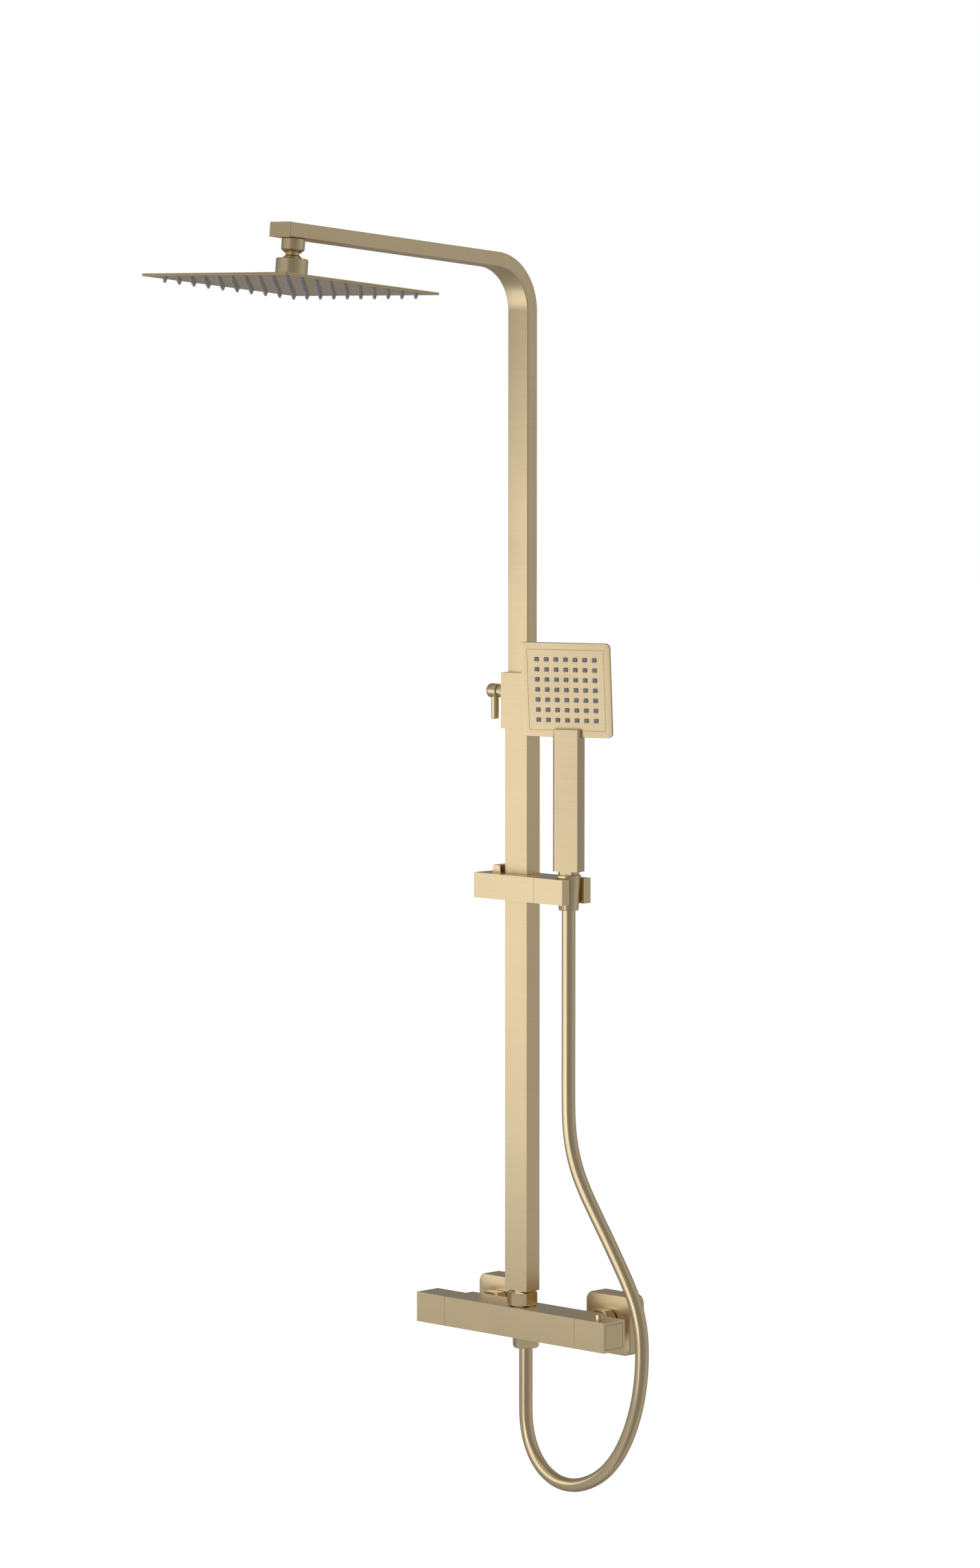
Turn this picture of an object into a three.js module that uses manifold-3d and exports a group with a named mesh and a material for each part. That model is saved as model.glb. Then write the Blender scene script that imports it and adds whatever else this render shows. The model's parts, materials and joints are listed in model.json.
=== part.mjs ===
// Rainfall shower column: an exposed thermostatic bar valve, a telescopic rectangular riser with an overhead
// arm and a square rain head, and a square handset on a sliding holder with its hose.
// Millimetres. +X runs along the valve to the right, +Y into the wall, +Z up.
// The origin is on the wall's face, midway between the two inlets.

import * as THREE from "three";
import { mergeVertices } from "three/addons/utils/BufferGeometryUtils.js";
import Module from "manifold-3d";

const wasm = await Module();
wasm.setup();

// ---------------------------------------------------------------- driving dimensions

const GAP = 0.3; // between faces that touch on the real object
const RUN = 0.3; // around what slides or turns
const SHEET_GAP = 0.1; // between the thin layers of the rain head
const PAST = 1; // how far a cutting tool passes the face that it opens
const ROOT = 0.5; // how far a shape starts inside the one that carries it
const THROUGH = 60; // a cutting tool that goes right through any single piece

// Valve
const INLET_CENTRES = 150; // hot inlet to cold inlet
const VALVE_LENGTH = 260; // over both handles
const HANDLE_LENGTH = 39.7;
const VALVE_HEIGHT = 30;
const BODY_DEPTH = 40;
const HANDLE_DEPTH = 30;
const VALVE_FRONT = 84.5; // the wall to the valve's front face
const CAVITY_LENGTH = 49; // each end's cartridge cavity
const CARTRIDGE_RADIUS = 12;
const CARTRIDGE_NOSE_RADIUS = 9;
const CARTRIDGE_NOSE_LENGTH = 9;
const SPINDLE_RADIUS = 4.5;
const SPINDLE_SQUARE = 8;
const SPINDLE_LENGTH = 48;
const SPINDLE_INTO_HANDLE = 28;
const HANDLE_HOLLOW = 12; // round the cartridge's nose
const CAP_SIDE = 24;
const CAP_THICKNESS = 2;
const HANDLE_SCREW_RADIUS = 2;
const HANDLE_SCREW_HEAD_RADIUS = 3.6;
const HANDLE_SCREW_INTO_SPINDLE = 13;
const STOP_RING_RADIUS = 12.4;
const STOP_RING_LENGTH = 5;
const STOP_RING_INSET = 1;
const STOP_BUTTON_RADIUS = 4.4;
const STOP_BUTTON_RISE = 5.1; // above the handle's top
const STOP_BUTTON_STROKE = 2;
const STOP_POCKET_SKIN = 1.6; // between the button's pocket and the spindle's socket
const STOP_SPRING = { radius: 3, wire: 0.35, closed: 2, turns: 3 };

// Inlets, from the wall outwards
const FLANGE_SIDE = 60;
const FLANGE_DEPTH = 20.7;
const FLANGE_CORNER = 9;
const FLANGE_WALL = 2;
const UNION_NUT_FLATS = 30;
const UNION_NUT_LENGTH = 12.9;
const UNION_NUT_TO_FLANGE = 1.2;
const SPIGOT_RADIUS = 11.5;
const CONNECTOR_RADIUS = 9;
const CONNECTOR_THREAD_RADIUS = 10.45;
const CONNECTOR_THREAD_LENGTH = 18;
const CONNECTOR_INTO_WALL = 12;
const CONNECTOR_BORE = 6.5;

// Riser
const TUBE_TO_WALL = 65.3; // the riser's centre line to the wall
const LOWER_TUBE_WIDTH = 30;
const LOWER_TUBE_DEPTH = 18.5;
const TUBE_WALL = 1.2;
const TELESCOPE_DEPTH_GAP = 1.05; // in front of the upper tube and behind it, inside the lower tube
const LOWER_TUBE_LENGTH = 609;
const RISER_NUT_FLATS = 27;
const RISER_NUT_HEIGHT = 14.2;
const RISER_NUT_TO_TUBE = 1.5;
const RISER_NECK_RADIUS = 8.8;
const RISER_BORE = 6;

// Lock collar and its clamp
const COLLAR_WALL = 2.7;
const COLLAR_BELOW_TUBE_TOP = 49.2;
const COLLAR_ABOVE_TUBE_TOP = 6.5;
const CLAMP_BELOW_COLLAR_TOP = 19.7;
const CLAMP_RADIUS = 7.1;
const CLAMP_BOSS_LENGTH = 9;
const CLAMP_GROOVE_LENGTH = 5.2;
const CLAMP_GROOVE_RADIUS = 5.4;
const CLAMP_KNOB_LENGTH = 11.8;
const CLAMP_SCREW_RADIUS = 3;
const CLAMP_SCREW_HOLE = 3.5;
const LEVER_RADIUS = 3.8;
const LEVER_REACH = 28; // the knob's axis to the lever's tip
const LEVER_SEAT = 1; // the knob's axis to the lever's socket
const LEVER_INSET = 6; // the knob's end to the lever's axis

// Wall bracket behind the lock collar
const BRACKET_SIDE = 20;
const BRACKET_FLANGE_SIDE = 50;
const BRACKET_FLANGE_DEPTH = 8;
const BRACKET_BOSS_RADIUS = 7.5;
const BRACKET_BOSS_LENGTH = 10;
const BRACKET_SCREW_RADIUS = 2.5;
const BRACKET_SCREW_HEAD = 2.4;
const BRACKET_SCREW_SINK = 3; // the depth of its head's recess
const BRACKET_SCREW_INTO_WALL = 25;

// Upper tube, arm and rain head
const UPPER_TUBE_OUT = 355.5; // straight length above the lock collar
const UPPER_TUBE_IN = 300; // length held inside the lower tube
const BEND_RADIUS = 50.5; // of the centre line
const ARM_RISE = THREE.MathUtils.degToRad(5.2);
const ARM_REACH = 327; // the riser's centre line to the arm's end, measured level
const HEAD_REACH = 309; // the riser's centre line to the head's axis at the arm's underside
const END_CAP_THICKNESS = 1.2;
const END_PLUG_LENGTH = 4;
const HEAD_COLLAR_RADIUS = 11.15;
const HEAD_COLLAR_LENGTH = 10.5;
const HEAD_COLLAR_CHAMFER = 3;
const HEAD_COLLAR_TIP = 0.4; // the wall left at the chamfer's foot
const STEM_RADIUS = 6.6;
const STEM_BORE = 3.5;
const STEM_INTO_ARM = 1.5;
const BALL_RADIUS = 11;
const BALL_LINER = 0.7; // the thickness of the ball seat and of the ball seal round it
const BALL_NUT_WALL = 2;
const BALL_NUT_ABOVE_BALL = 5.5; // the ball's centre to the nut's top
const BALL_NUT_LIP = 2;
const BALL_TO_BOSS = 1; // the ball to the top of the head's inlet boss
const INLET_BOSS_HEIGHT = 4.3; // above the head's raised back
const HEAD_SIDE = 200;
const HEAD_CORNER = 3;
const HEAD_PAD_INSET = 19;
const HEAD_PAD_RISE = 1.2;
const HEAD_PAD_SLOPE = 4;
const HEAD_BACK_SKIN = 0.4;
const HEAD_MAT_THICKNESS = 0.8;
const HEAD_FACE_THICKNESS = 0.9;
const HEAD_RIM_WIDTH = 8.7;
const HEAD_NOZZLES = 10; // each way
const HEAD_PITCH = 18.6;
const HEAD_NOZZLE_RADIUS = 1.9;
const HEAD_NOZZLE_TIP_RADIUS = 1.25;
const HEAD_NOZZLE_LENGTH = 5;

// Slider and holder
const SLIDER_BOTTOM = 422.4; // above the valve's axis
const SLIDER_HEIGHT = 25;
const SLIDER_DEPTH = 40.5;
const SLIDER_FRONT = 27; // in front of the riser's centre line
const SLIDER_LEFT = 41;
const SLIDER_RIGHT = 42;
const HOLDER_END = 80.5;
const LINER_WALL = 1;
const LINER_INSET = 0.5;
const HANDSET_X = 70; // the handset's axis to the riser's centre line
const HOLDER_SLOT = 21;
const PIVOT_RADIUS = 3;
const PIVOT_HEAD_RADIUS = 5;
const RELEASE_TO_LINER = 1.5;
const RELEASE_TOP_WIDTH = 9.5;
const RELEASE_WIDTH = 11;
const RELEASE_FRONT = 13; // in front of the riser's centre line
const RELEASE_DEPTH = 18;
const RELEASE_RISE = 7.4; // above the slider
const RELEASE_STROKE = 3.5;
const RELEASE_POCKET_DEPTH = 14;
const RELEASE_SPRING = { radius: 3.4, wire: 0.4, turns: 3 };

// Handset
const HANDSET_YAW = THREE.MathUtils.degToRad(23.3);
const HANDSET_LEAN = THREE.MathUtils.degToRad(5.8);
const CONE_BOTTOM_RADIUS = 9.75;
const CONE_TOP_RADIUS = 11.65;
const CONE_LENGTH = 31.6;
const CONE_BELOW_HOLDER = 6.4; // the cone's bottom below the holder's underside
const CONE_RING_LIP = 0.55; // the ring's edge outside the cone's top
const CONE_RING_HEIGHT = 3.4;
const CONE_EDGE = 0.6;
const NECK_RADIUS = 10.35;
const NECK_HEIGHT = 3;
const NIPPLE_RADIUS = 8.6;
const NIPPLE_LENGTH = 8;
const GRIP_WIDTH = 28.5;
const GRIP_DEPTH = 17;
const GRIP_LENGTH = 139.5;
const GRIP_WALL = 1.6;
const GRIP_CHAMFER = 2.2;
const GRIP_INNER_CHAMFER = 1.7;
const GRIP_FLOOR = 3;
const WATER_TUBE_RADIUS = 5;
const WATER_TUBE_BORE = 3.6;
const WATER_TUBE_SEAT = 1; // above the grip's foot
const WATER_TUBE_TO_SLAB = 1.5;
const SLAB_SIDE = 93.5;
const SLAB_CORNER = 5;
const SLAB_RIM = 3;
const SLAB_BACK_SIDE = 76;
const SLAB_THICKNESS = 9;
const SLAB_BACK_SLOPE = 6;
const SLAB_WAY_RADIUS = 2;
const SLAB_CENTRE = 178.4; // the grip's foot to the spray face's centre
const SLAB_FORWARD = 7.4; // the spray face's centre in front of the grip's axis
const FACE_SIDE = 79.6;
const FACE_THICKNESS = 1.8;
const HAND_MAT_THICKNESS = 1;
const HAND_CHAMBER_SIDE = 74;
const HAND_CHAMBER_DEPTH = 4.2;
const HAND_NOZZLES = 7; // each way
const HAND_PITCH = 10;
const HAND_NOZZLE_SIDE = 3.8;
const HAND_NOZZLE_RISE = 2;

// Hose
const HOSE_DIAMETER = 13.5;
const HOSE_SIDES = 10;
const HOSE_STEPS = 46;
const OUTLET_TO_WALL = 60;
const OUTLET_NUT_FLATS = 23.4;
const OUTLET_NUT_HEIGHT = 12.7;
const OUTLET_NIPPLE_RADIUS = 8;
const OUTLET_NIPPLE_LENGTH = 7;
const OUTLET_BORE = 5.5;

// The hose's centre line from the valve's outlet, round its loop and up into the handset's cone.
const HOSE_ROUTE = [
  [0, -60, -28.3],
  [0, -60, -46],
  [0, -60, -66],
  [0, -60, -86],
  [1.2, -60.3, -104],
  [6.4, -61, -121.5],
  [16, -62.2, -136.5],
  [29.5, -63.6, -148],
  [46, -65, -155],
  [63.5, -66.3, -157],
  [82, -67.6, -154.3],
  [101, -68.8, -147],
  [118.5, -69.9, -136],
  [133.5, -70.8, -121.5],
  [146, -71.4, -104],
  [156, -71.8, -84],
  [163.5, -72, -62],
  [168, -72, -39],
  [169.7, -72, -15],
  [168.3, -72, 9],
  [162.2, -72, 32],
  [151.5, -72, 53],
  [138, -72, 74],
  [123, -72, 96],
  [107.5, -72, 118],
  [93, -72, 139.5],
  [81.3, -72, 161.5],
  [73.8, -72, 185],
  [70.6, -72.05, 210],
  [70, -72.05, 240],
  [70, -72.05, 280],
  [70, -72.05, 320],
  [70, -72.05, 360],
  [70, -72.05, 400],
  [70, -72.05, 440.5],
];

// ---------------------------------------------------------------- derived places

const TUBE_Y = -TUBE_TO_WALL;
const HANDLE_Y = -VALVE_FRONT + HANDLE_DEPTH / 2;
const BODY_BACK = -VALVE_FRONT + BODY_DEPTH;
const VALVE_TOP = VALVE_HEIGHT / 2;
const HANDLE_INNER = VALVE_LENGTH / 2 - HANDLE_LENGTH;
const BODY_END = HANDLE_INNER - GAP;
const UPPER_TUBE_WIDTH = LOWER_TUBE_WIDTH - 2 * (TUBE_WALL + RUN);
const UPPER_TUBE_DEPTH = LOWER_TUBE_DEPTH - 2 * (TUBE_WALL + TELESCOPE_DEPTH_GAP);
const LOWER_TUBE_BOTTOM = VALVE_TOP + GAP + RISER_NUT_HEIGHT + RISER_NUT_TO_TUBE;
const LOWER_TUBE_TOP = LOWER_TUBE_BOTTOM + LOWER_TUBE_LENGTH;
const COLLAR_BOTTOM = LOWER_TUBE_TOP - COLLAR_BELOW_TUBE_TOP;
const COLLAR_TOP = LOWER_TUBE_TOP + COLLAR_ABOVE_TUBE_TOP;
const COLLAR_WIDTH = LOWER_TUBE_WIDTH + 2 * (RUN + COLLAR_WALL);
const COLLAR_DEPTH = LOWER_TUBE_DEPTH + 2 * (RUN + COLLAR_WALL);
const CLAMP_Z = COLLAR_TOP - CLAMP_BELOW_COLLAR_TOP;
const BRACKET_Z = (COLLAR_BOTTOM + COLLAR_TOP) / 2;
const BEND_START = COLLAR_TOP + UPPER_TUBE_OUT;
const SLIDER_TOP = SLIDER_BOTTOM + SLIDER_HEIGHT;
const SLIDER_Y = TUBE_Y - SLIDER_FRONT + SLIDER_DEPTH / 2;
const PIVOT_Z = SLIDER_BOTTOM + SLIDER_HEIGHT / 2;
const CONE_BOTTOM = SLIDER_BOTTOM - CONE_BELOW_HOLDER;
const CONE_TOP = CONE_BOTTOM + CONE_LENGTH;
const RING_TOP = CONE_TOP + CONE_RING_HEIGHT;
const GRIP_BOTTOM = RING_TOP + GAP + NECK_HEIGHT;

// ---------------------------------------------------------------- materials

function finish(color, roughness, metalness) {
  return new THREE.MeshStandardMaterial({ color, roughness, metalness });
}

const BRUSHED_GOLD = finish(0xcbb281, 0.38, 0.9);
const SATIN_GOLD = finish(0xc9ad74, 0.25, 0.95);
const RAW_BRASS = finish(0xb59a5b, 0.4, 0.9);
const STEEL = finish(0xb9bcc0, 0.35, 0.9);
const NOZZLE_SILICONE = finish(0x888a90, 0.7, 0);
const SEAL_RUBBER = finish(0x26272a, 0.8, 0);
const WHITE_PLASTIC = finish(0xe4e2dc, 0.5, 0);

// ---------------------------------------------------------------- shape tools

// A closed geometry as a solid for cutting and joining.
function solidOf(geometry) {
  const flat = geometry.index ? geometry.toNonIndexed() : geometry.clone();
  flat.deleteAttribute("normal");
  flat.deleteAttribute("uv");
  const merged = mergeVertices(flat, 1e-4);
  const mesh = new wasm.Mesh({
    numProp: 3,
    vertProperties: new Float32Array(merged.attributes.position.array),
    triVerts: new Uint32Array(merged.index.array),
  });
  return new wasm.Manifold(mesh);
}

function geometryOf(solid) {
  const mesh = solid.getMesh();
  const geometry = new THREE.BufferGeometry();
  geometry.setAttribute("position", new THREE.BufferAttribute(mesh.vertProperties, 3));
  geometry.setIndex(new THREE.BufferAttribute(mesh.triVerts, 1));
  geometry.computeVertexNormals();
  return geometry;
}

function join(...geometries) {
  const solids = geometries.map(solidOf);
  return geometryOf(solids.reduce((whole, piece) => whole.add(piece)));
}

function cut(geometry, ...tools) {
  const solids = tools.map(solidOf);
  return geometryOf(solids.reduce((whole, tool) => whole.subtract(tool), solidOf(geometry)));
}

// A box between two limits on each axis.
function block([x0, x1], [y0, y1], [z0, z1]) {
  const box = new THREE.BoxGeometry(x1 - x0, y1 - y0, z1 - z0);
  return box.translate((x0 + x1) / 2, (y0 + y1) / 2, (z0 + z1) / 2);
}

// Turns a shape made along +Z so that it runs along another axis, then moves it to a place.
function along(axis, geometry, [x, y, z]) {
  if (axis === "x") geometry.rotateY(Math.PI / 2);
  if (axis === "y") geometry.rotateX(-Math.PI / 2);
  return geometry.translate(x, y, z);
}

// A round bar, or a frustum when a second radius is given, from one place along an axis.
function rod(axis, radius, length, place, sides = 20, endRadius = radius) {
  const bar = new THREE.CylinderGeometry(endRadius, radius, length, sides);
  bar.rotateX(Math.PI / 2).translate(0, 0, length / 2);
  return along(axis, bar, place);
}

// A ring or a solid of revolution about +Z: the profile is [radius, height] pairs, anticlockwise.
function turned(profile, sides = 24) {
  const points = profile.map(([radius, height]) => new THREE.Vector2(radius, height));
  points.push(points[0].clone());
  const lathe = new THREE.LatheGeometry(points, sides).rotateX(Math.PI / 2);
  return geometryOf(solidOf(lathe));
}

function ring(outer, inner, bottom, top, sides = 24) {
  return turned([[inner, bottom], [outer, bottom], [outer, top], [inner, top]], sides);
}

// A hexagonal bar across its flats, with a flat on each side of its axis.
function hexagon(axis, flats, length, place) {
  return rod(axis, flats / Math.sqrt(3), length, place, 6);
}

// A rectangle with round corners, centred on the origin.
function roundedSquare(side, corner) {
  const half = side / 2;
  const inner = half - corner;
  const shape = new THREE.Shape();
  shape.absarc(inner, inner, corner, 0, Math.PI / 2);
  shape.absarc(-inner, inner, corner, Math.PI / 2, Math.PI);
  shape.absarc(-inner, -inner, corner, Math.PI, 1.5 * Math.PI);
  shape.absarc(inner, -inner, corner, 1.5 * Math.PI, 2 * Math.PI);
  return shape;
}

function extruded(shape, depth, curveSegments = 4) {
  return new THREE.ExtrudeGeometry(shape, { depth, curveSegments, bevelEnabled: false });
}

// A rectangular tube or frame, standing on z0, centred on [x, y].
function rectTube([width, depth], [innerWidth, innerDepth], [z0, z1], [x, y]) {
  const outer = block([x - width / 2, x + width / 2], [y - depth / 2, y + depth / 2], [z0, z1]);
  const inner = block(
    [x - innerWidth / 2, x + innerWidth / 2],
    [y - innerDepth / 2, y + innerDepth / 2],
    [z0 - 1, z1 + 1],
  );
  return cut(outer, inner);
}

// A helical spring about +Z, standing on its foot.
function spring({ radius, wire, turns }, height) {
  const points = [];
  const eachTurn = 8;
  const steps = turns * eachTurn;
  for (let i = 0; i <= steps; i++) {
    const angle = (i / eachTurn) * 2 * Math.PI;
    const rise = wire + ((height - 2 * wire) * i) / steps;
    points.push(new THREE.Vector3(radius * Math.cos(angle), radius * Math.sin(angle), rise));
  }
  const section = new THREE.Shape();
  section.absarc(0, 0, wire, 0, 2 * Math.PI);
  const path = new THREE.CatmullRomCurve3(points);
  return new THREE.ExtrudeGeometry(section, { steps, extrudePath: path, curveSegments: 4 });
}

const column = new THREE.Group();

function add(name, geometry, material, parent = column) {
  const mesh = new THREE.Mesh(geometry, material);
  mesh.name = name;
  parent.add(mesh);
  return mesh;
}

// ---------------------------------------------------------------- valve

const CAVITY_RADIUS = CARTRIDGE_RADIUS + RUN;
const CARTRIDGE_START = BODY_END - CAVITY_LENGTH + GAP;
const INLET_X = INLET_CENTRES / 2;
const INLET_BORE = 8;
const INLET_BORE_DEPTH = 9.5;
const PORT = 3.5; // the radius of the valve's inner water ways
const NUT_BACK = -FLANGE_DEPTH - UNION_NUT_TO_FLANGE;
const NUT_FRONT = NUT_BACK - UNION_NUT_LENGTH;
const NUT_LIP = 2.3;
const CONNECTOR_FLANGE = 2;
const CONNECTOR_FRONT = NUT_BACK - NUT_LIP - GAP - CONNECTOR_FLANGE;
const WASHER = 1.5;
const SPIGOT_END = CONNECTOR_FRONT - 2 * GAP - WASHER;
const RISER_NIPPLE_RADIUS = 9.5;
const RISER_NIPPLE_LENGTH = 5;

function valveBody() {
  const height = [-VALVE_TOP, VALVE_TOP];
  const solid = join(
    block([-BODY_END, BODY_END], [-VALVE_FRONT, BODY_BACK], height),
    rod("z", RISER_NIPPLE_RADIUS, RISER_NIPPLE_LENGTH + ROOT, [0, TUBE_Y, VALVE_TOP - ROOT]),
    rod("z", OUTLET_NIPPLE_RADIUS, OUTLET_NIPPLE_LENGTH + ROOT, [
      0,
      -OUTLET_TO_WALL,
      -VALVE_TOP - OUTLET_NIPPLE_LENGTH,
    ]),
    ...[-INLET_X, INLET_X].map((x) =>
      rod("y", SPIGOT_RADIUS, SPIGOT_END - BODY_BACK + ROOT, [x, BODY_BACK - ROOT, 0]),
    ),
  );
  const cavities = [-BODY_END - PAST, BODY_END - CAVITY_LENGTH].map((x) =>
    rod("x", CAVITY_RADIUS, CAVITY_LENGTH + PAST, [x, HANDLE_Y, 0]),
  );
  const inlets = [-INLET_X, INLET_X].map((x) =>
    rod("y", INLET_BORE, SPIGOT_END - BODY_BACK + INLET_BORE_DEPTH + PAST, [
      x,
      BODY_BACK - INLET_BORE_DEPTH,
      0,
    ]),
  );
  const reach = BODY_END - CAVITY_LENGTH + 2; // from the middle into either cavity
  const hotWay = BODY_BACK - 5.5;
  const mixedWay = HANDLE_Y - 7.5;
  const outWay = 6.5; // above and below the valve's axis
  const ways = [
    rod("x", PORT, INLET_X + reach + PORT, [-INLET_X, hotWay, 0], 8),
    rod("y", PORT, hotWay - HANDLE_Y, [reach + ROOT, HANDLE_Y, 0], 8),
    rod("x", PORT, 2 * reach, [-reach, mixedWay, 0], 8),
    rod("x", PORT, reach + 2, [-reach, -OUTLET_TO_WALL, outWay], 8),
    rod("x", PORT, reach + 2, [-reach, -OUTLET_TO_WALL, -outWay], 8),
  ];
  const riserBore = rod("z", RISER_BORE, RISER_NIPPLE_LENGTH + 12 + PAST, [0, TUBE_Y, 3]);
  const outletBore = rod("z", OUTLET_BORE, VALVE_TOP + OUTLET_NIPPLE_LENGTH - 3 + PAST, [
    0,
    -OUTLET_TO_WALL,
    -VALVE_TOP - OUTLET_NIPPLE_LENGTH - PAST,
  ]);
  return cut(solid, ...cavities, ...inlets, ...ways, riserBore, outletBore);
}

// A cartridge whose nose points along +X, from the cavity's floor to inside the handle. Its port is this far
// along from the middle.
function cartridge(portShift) {
  const length = BODY_END - CARTRIDGE_START - GAP;
  const solid = join(
    rod("x", CARTRIDGE_RADIUS, length, [CARTRIDGE_START, 0, 0]),
    rod("x", CARTRIDGE_NOSE_RADIUS, CARTRIDGE_NOSE_LENGTH + GAP, [CARTRIDGE_START + length, 0, 0]),
  );
  const bore = rod("x", SPINDLE_RADIUS + RUN, length, [BODY_END - length / 2, 0, 0], 16);
  const portX = BODY_END - length / 2 + PORT + portShift;
  const port = rod("z", PORT, 2 * (CARTRIDGE_RADIUS + PAST), [portX, 0, -CARTRIDGE_RADIUS - PAST], 8);
  return cut(solid, bore, port);
}

// The spindle and everything on it is modelled for the right-hand end, with the valve's axis on the X axis.
const SPINDLE_END = HANDLE_INNER + SPINDLE_INTO_HANDLE;
const SCREW_HEAD = 2.6;
const CAP_RECESS = CAP_THICKNESS + GAP;
const HANDLE_END = VALVE_LENGTH / 2;
const SCREW_SEAT = HANDLE_END - CAP_RECESS - SCREW_HEAD - GAP;

function spindle() {
  const round = BODY_END + CARTRIDGE_NOSE_LENGTH + 3 * GAP;
  const half = SPINDLE_SQUARE / 2;
  const solid = join(
    rod("x", SPINDLE_RADIUS, round - SPINDLE_END + SPINDLE_LENGTH, [SPINDLE_END - SPINDLE_LENGTH, 0, 0], 16),
    block([round - ROOT, SPINDLE_END], [-half, half], [-half, half]),
  );
  const depth = HANDLE_SCREW_INTO_SPINDLE + PAST;
  return cut(solid, rod("x", HANDLE_SCREW_RADIUS + GAP, depth + PAST, [SPINDLE_END - depth, 0, 0], 8));
}

function handleScrew() {
  const tip = SPINDLE_END - HANDLE_SCREW_INTO_SPINDLE;
  return join(
    rod("x", HANDLE_SCREW_RADIUS, SCREW_SEAT + ROOT - tip, [tip, 0, 0], 8),
    rod("x", HANDLE_SCREW_HEAD_RADIUS, SCREW_HEAD, [SCREW_SEAT, 0, 0], 12),
  );
}

function handle() {
  const half = VALVE_HEIGHT / 2;
  const depth = HANDLE_DEPTH / 2;
  const hollow = STOP_RING_RADIUS + 2 * GAP;
  const socket = SPINDLE_SQUARE / 2 + GAP;
  const recess = CAP_SIDE / 2 + GAP;
  const solid = block([HANDLE_INNER, HANDLE_END], [-depth, depth], [-half, half]);
  return cut(
    solid,
    block([HANDLE_INNER - PAST, HANDLE_INNER + HANDLE_HOLLOW], [-hollow, hollow], [-hollow, hollow]),
    block([HANDLE_INNER, SPINDLE_END + GAP], [-socket, socket], [-socket, socket]),
    rod("x", HANDLE_SCREW_RADIUS + GAP, HANDLE_LENGTH, [HANDLE_INNER, 0, 0], 8),
    rod("x", HANDLE_SCREW_HEAD_RADIUS + GAP, HANDLE_LENGTH, [SCREW_SEAT - GAP, 0, 0], 12),
    block([HANDLE_END - CAP_RECESS, HANDLE_END + PAST], [-recess, recess], [-recess, recess]),
  );
}

function handleCap() {
  const half = CAP_SIDE / 2;
  return block([HANDLE_END - CAP_THICKNESS, HANDLE_END], [-half, half], [-half, half]);
}

const STOP_BUTTON_X = (HANDLE_INNER + HANDLE_END) / 2;
const STOP_POCKET_FLOOR = SPINDLE_SQUARE / 2 + GAP + STOP_POCKET_SKIN;
const STOP_BUTTON_FOOT = STOP_POCKET_FLOOR + STOP_BUTTON_STROKE + STOP_SPRING.closed;

const valve = new THREE.Group();
column.add(valve);

const leftEnd = new THREE.Group();
leftEnd.position.y = HANDLE_Y;
leftEnd.rotation.z = Math.PI;
valve.add(leftEnd);

const rightEnd = new THREE.Group();
rightEnd.position.y = HANDLE_Y;
valve.add(rightEnd);

add("valve_body", valveBody(), BRUSHED_GOLD, valve);
add("flow_cartridge", cartridge(0), WHITE_PLASTIC, leftEnd);
add("flow_spindle", spindle(), RAW_BRASS, leftEnd);
add("flow_handle", handle(), BRUSHED_GOLD, leftEnd);
add("flow_handle_screw", handleScrew(), STEEL, leftEnd);
add("flow_handle_cap", handleCap(), BRUSHED_GOLD, leftEnd);
add("thermostatic_cartridge", cartridge(-8), RAW_BRASS, rightEnd);
add("temperature_spindle", spindle(), RAW_BRASS, rightEnd);
add("temperature_handle_screw", handleScrew(), STEEL, rightEnd);
add("temperature_handle_cap", handleCap(), BRUSHED_GOLD, rightEnd);

const stopPocket = rod("z", STOP_BUTTON_RADIUS + RUN, VALVE_HEIGHT, [
  STOP_BUTTON_X,
  0,
  STOP_POCKET_FLOOR,
], 16);
add("temperature_handle", cut(handle(), stopPocket), BRUSHED_GOLD, rightEnd);

const stopButtonHeight = VALVE_TOP + STOP_BUTTON_RISE - STOP_BUTTON_FOOT;
add(
  "stop_button",
  rod("z", STOP_BUTTON_RADIUS, stopButtonHeight, [STOP_BUTTON_X, 0, STOP_BUTTON_FOOT], 16),
  SATIN_GOLD,
  rightEnd,
);

const stopSpring = spring(STOP_SPRING, STOP_BUTTON_FOOT - STOP_POCKET_FLOOR - GAP);
stopSpring.translate(STOP_BUTTON_X, 0, STOP_POCKET_FLOOR + GAP / 2);
add("stop_button_spring", stopSpring, STEEL, rightEnd);

const stopRing = ring(STOP_RING_RADIUS, CARTRIDGE_NOSE_RADIUS + GAP, 0, STOP_RING_LENGTH);
stopRing.rotateY(Math.PI / 2).translate(HANDLE_INNER + STOP_RING_INSET, 0, 0);
add("limit_stop_ring", stopRing, WHITE_PLASTIC, rightEnd);

// ---------------------------------------------------------------- wall inlets

function unionNut() {
  const nut = hexagon("y", UNION_NUT_FLATS, UNION_NUT_LENGTH, [0, NUT_FRONT, 0]);
  nut.rotateY(Math.PI / 6);
  return cut(
    nut,
    rod("y", SPIGOT_RADIUS + GAP, UNION_NUT_LENGTH - NUT_LIP + PAST, [0, NUT_FRONT - PAST, 0]),
    rod("y", CONNECTOR_RADIUS + GAP, UNION_NUT_LENGTH, [0, NUT_FRONT + PAST, 0]),
  );
}

function inletConnector() {
  const threadStart = CONNECTOR_INTO_WALL - CONNECTOR_THREAD_LENGTH;
  const solid = join(
    rod("y", SPIGOT_RADIUS - GAP, CONNECTOR_FLANGE, [0, CONNECTOR_FRONT, 0]),
    rod("y", CONNECTOR_RADIUS, threadStart - CONNECTOR_FRONT, [0, CONNECTOR_FRONT, 0]),
    rod("y", CONNECTOR_THREAD_RADIUS, CONNECTOR_THREAD_LENGTH, [0, threadStart, 0]),
  );
  return cut(solid, rod("y", CONNECTOR_BORE, THROUGH, [0, CONNECTOR_FRONT - PAST, 0], 16));
}

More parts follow.
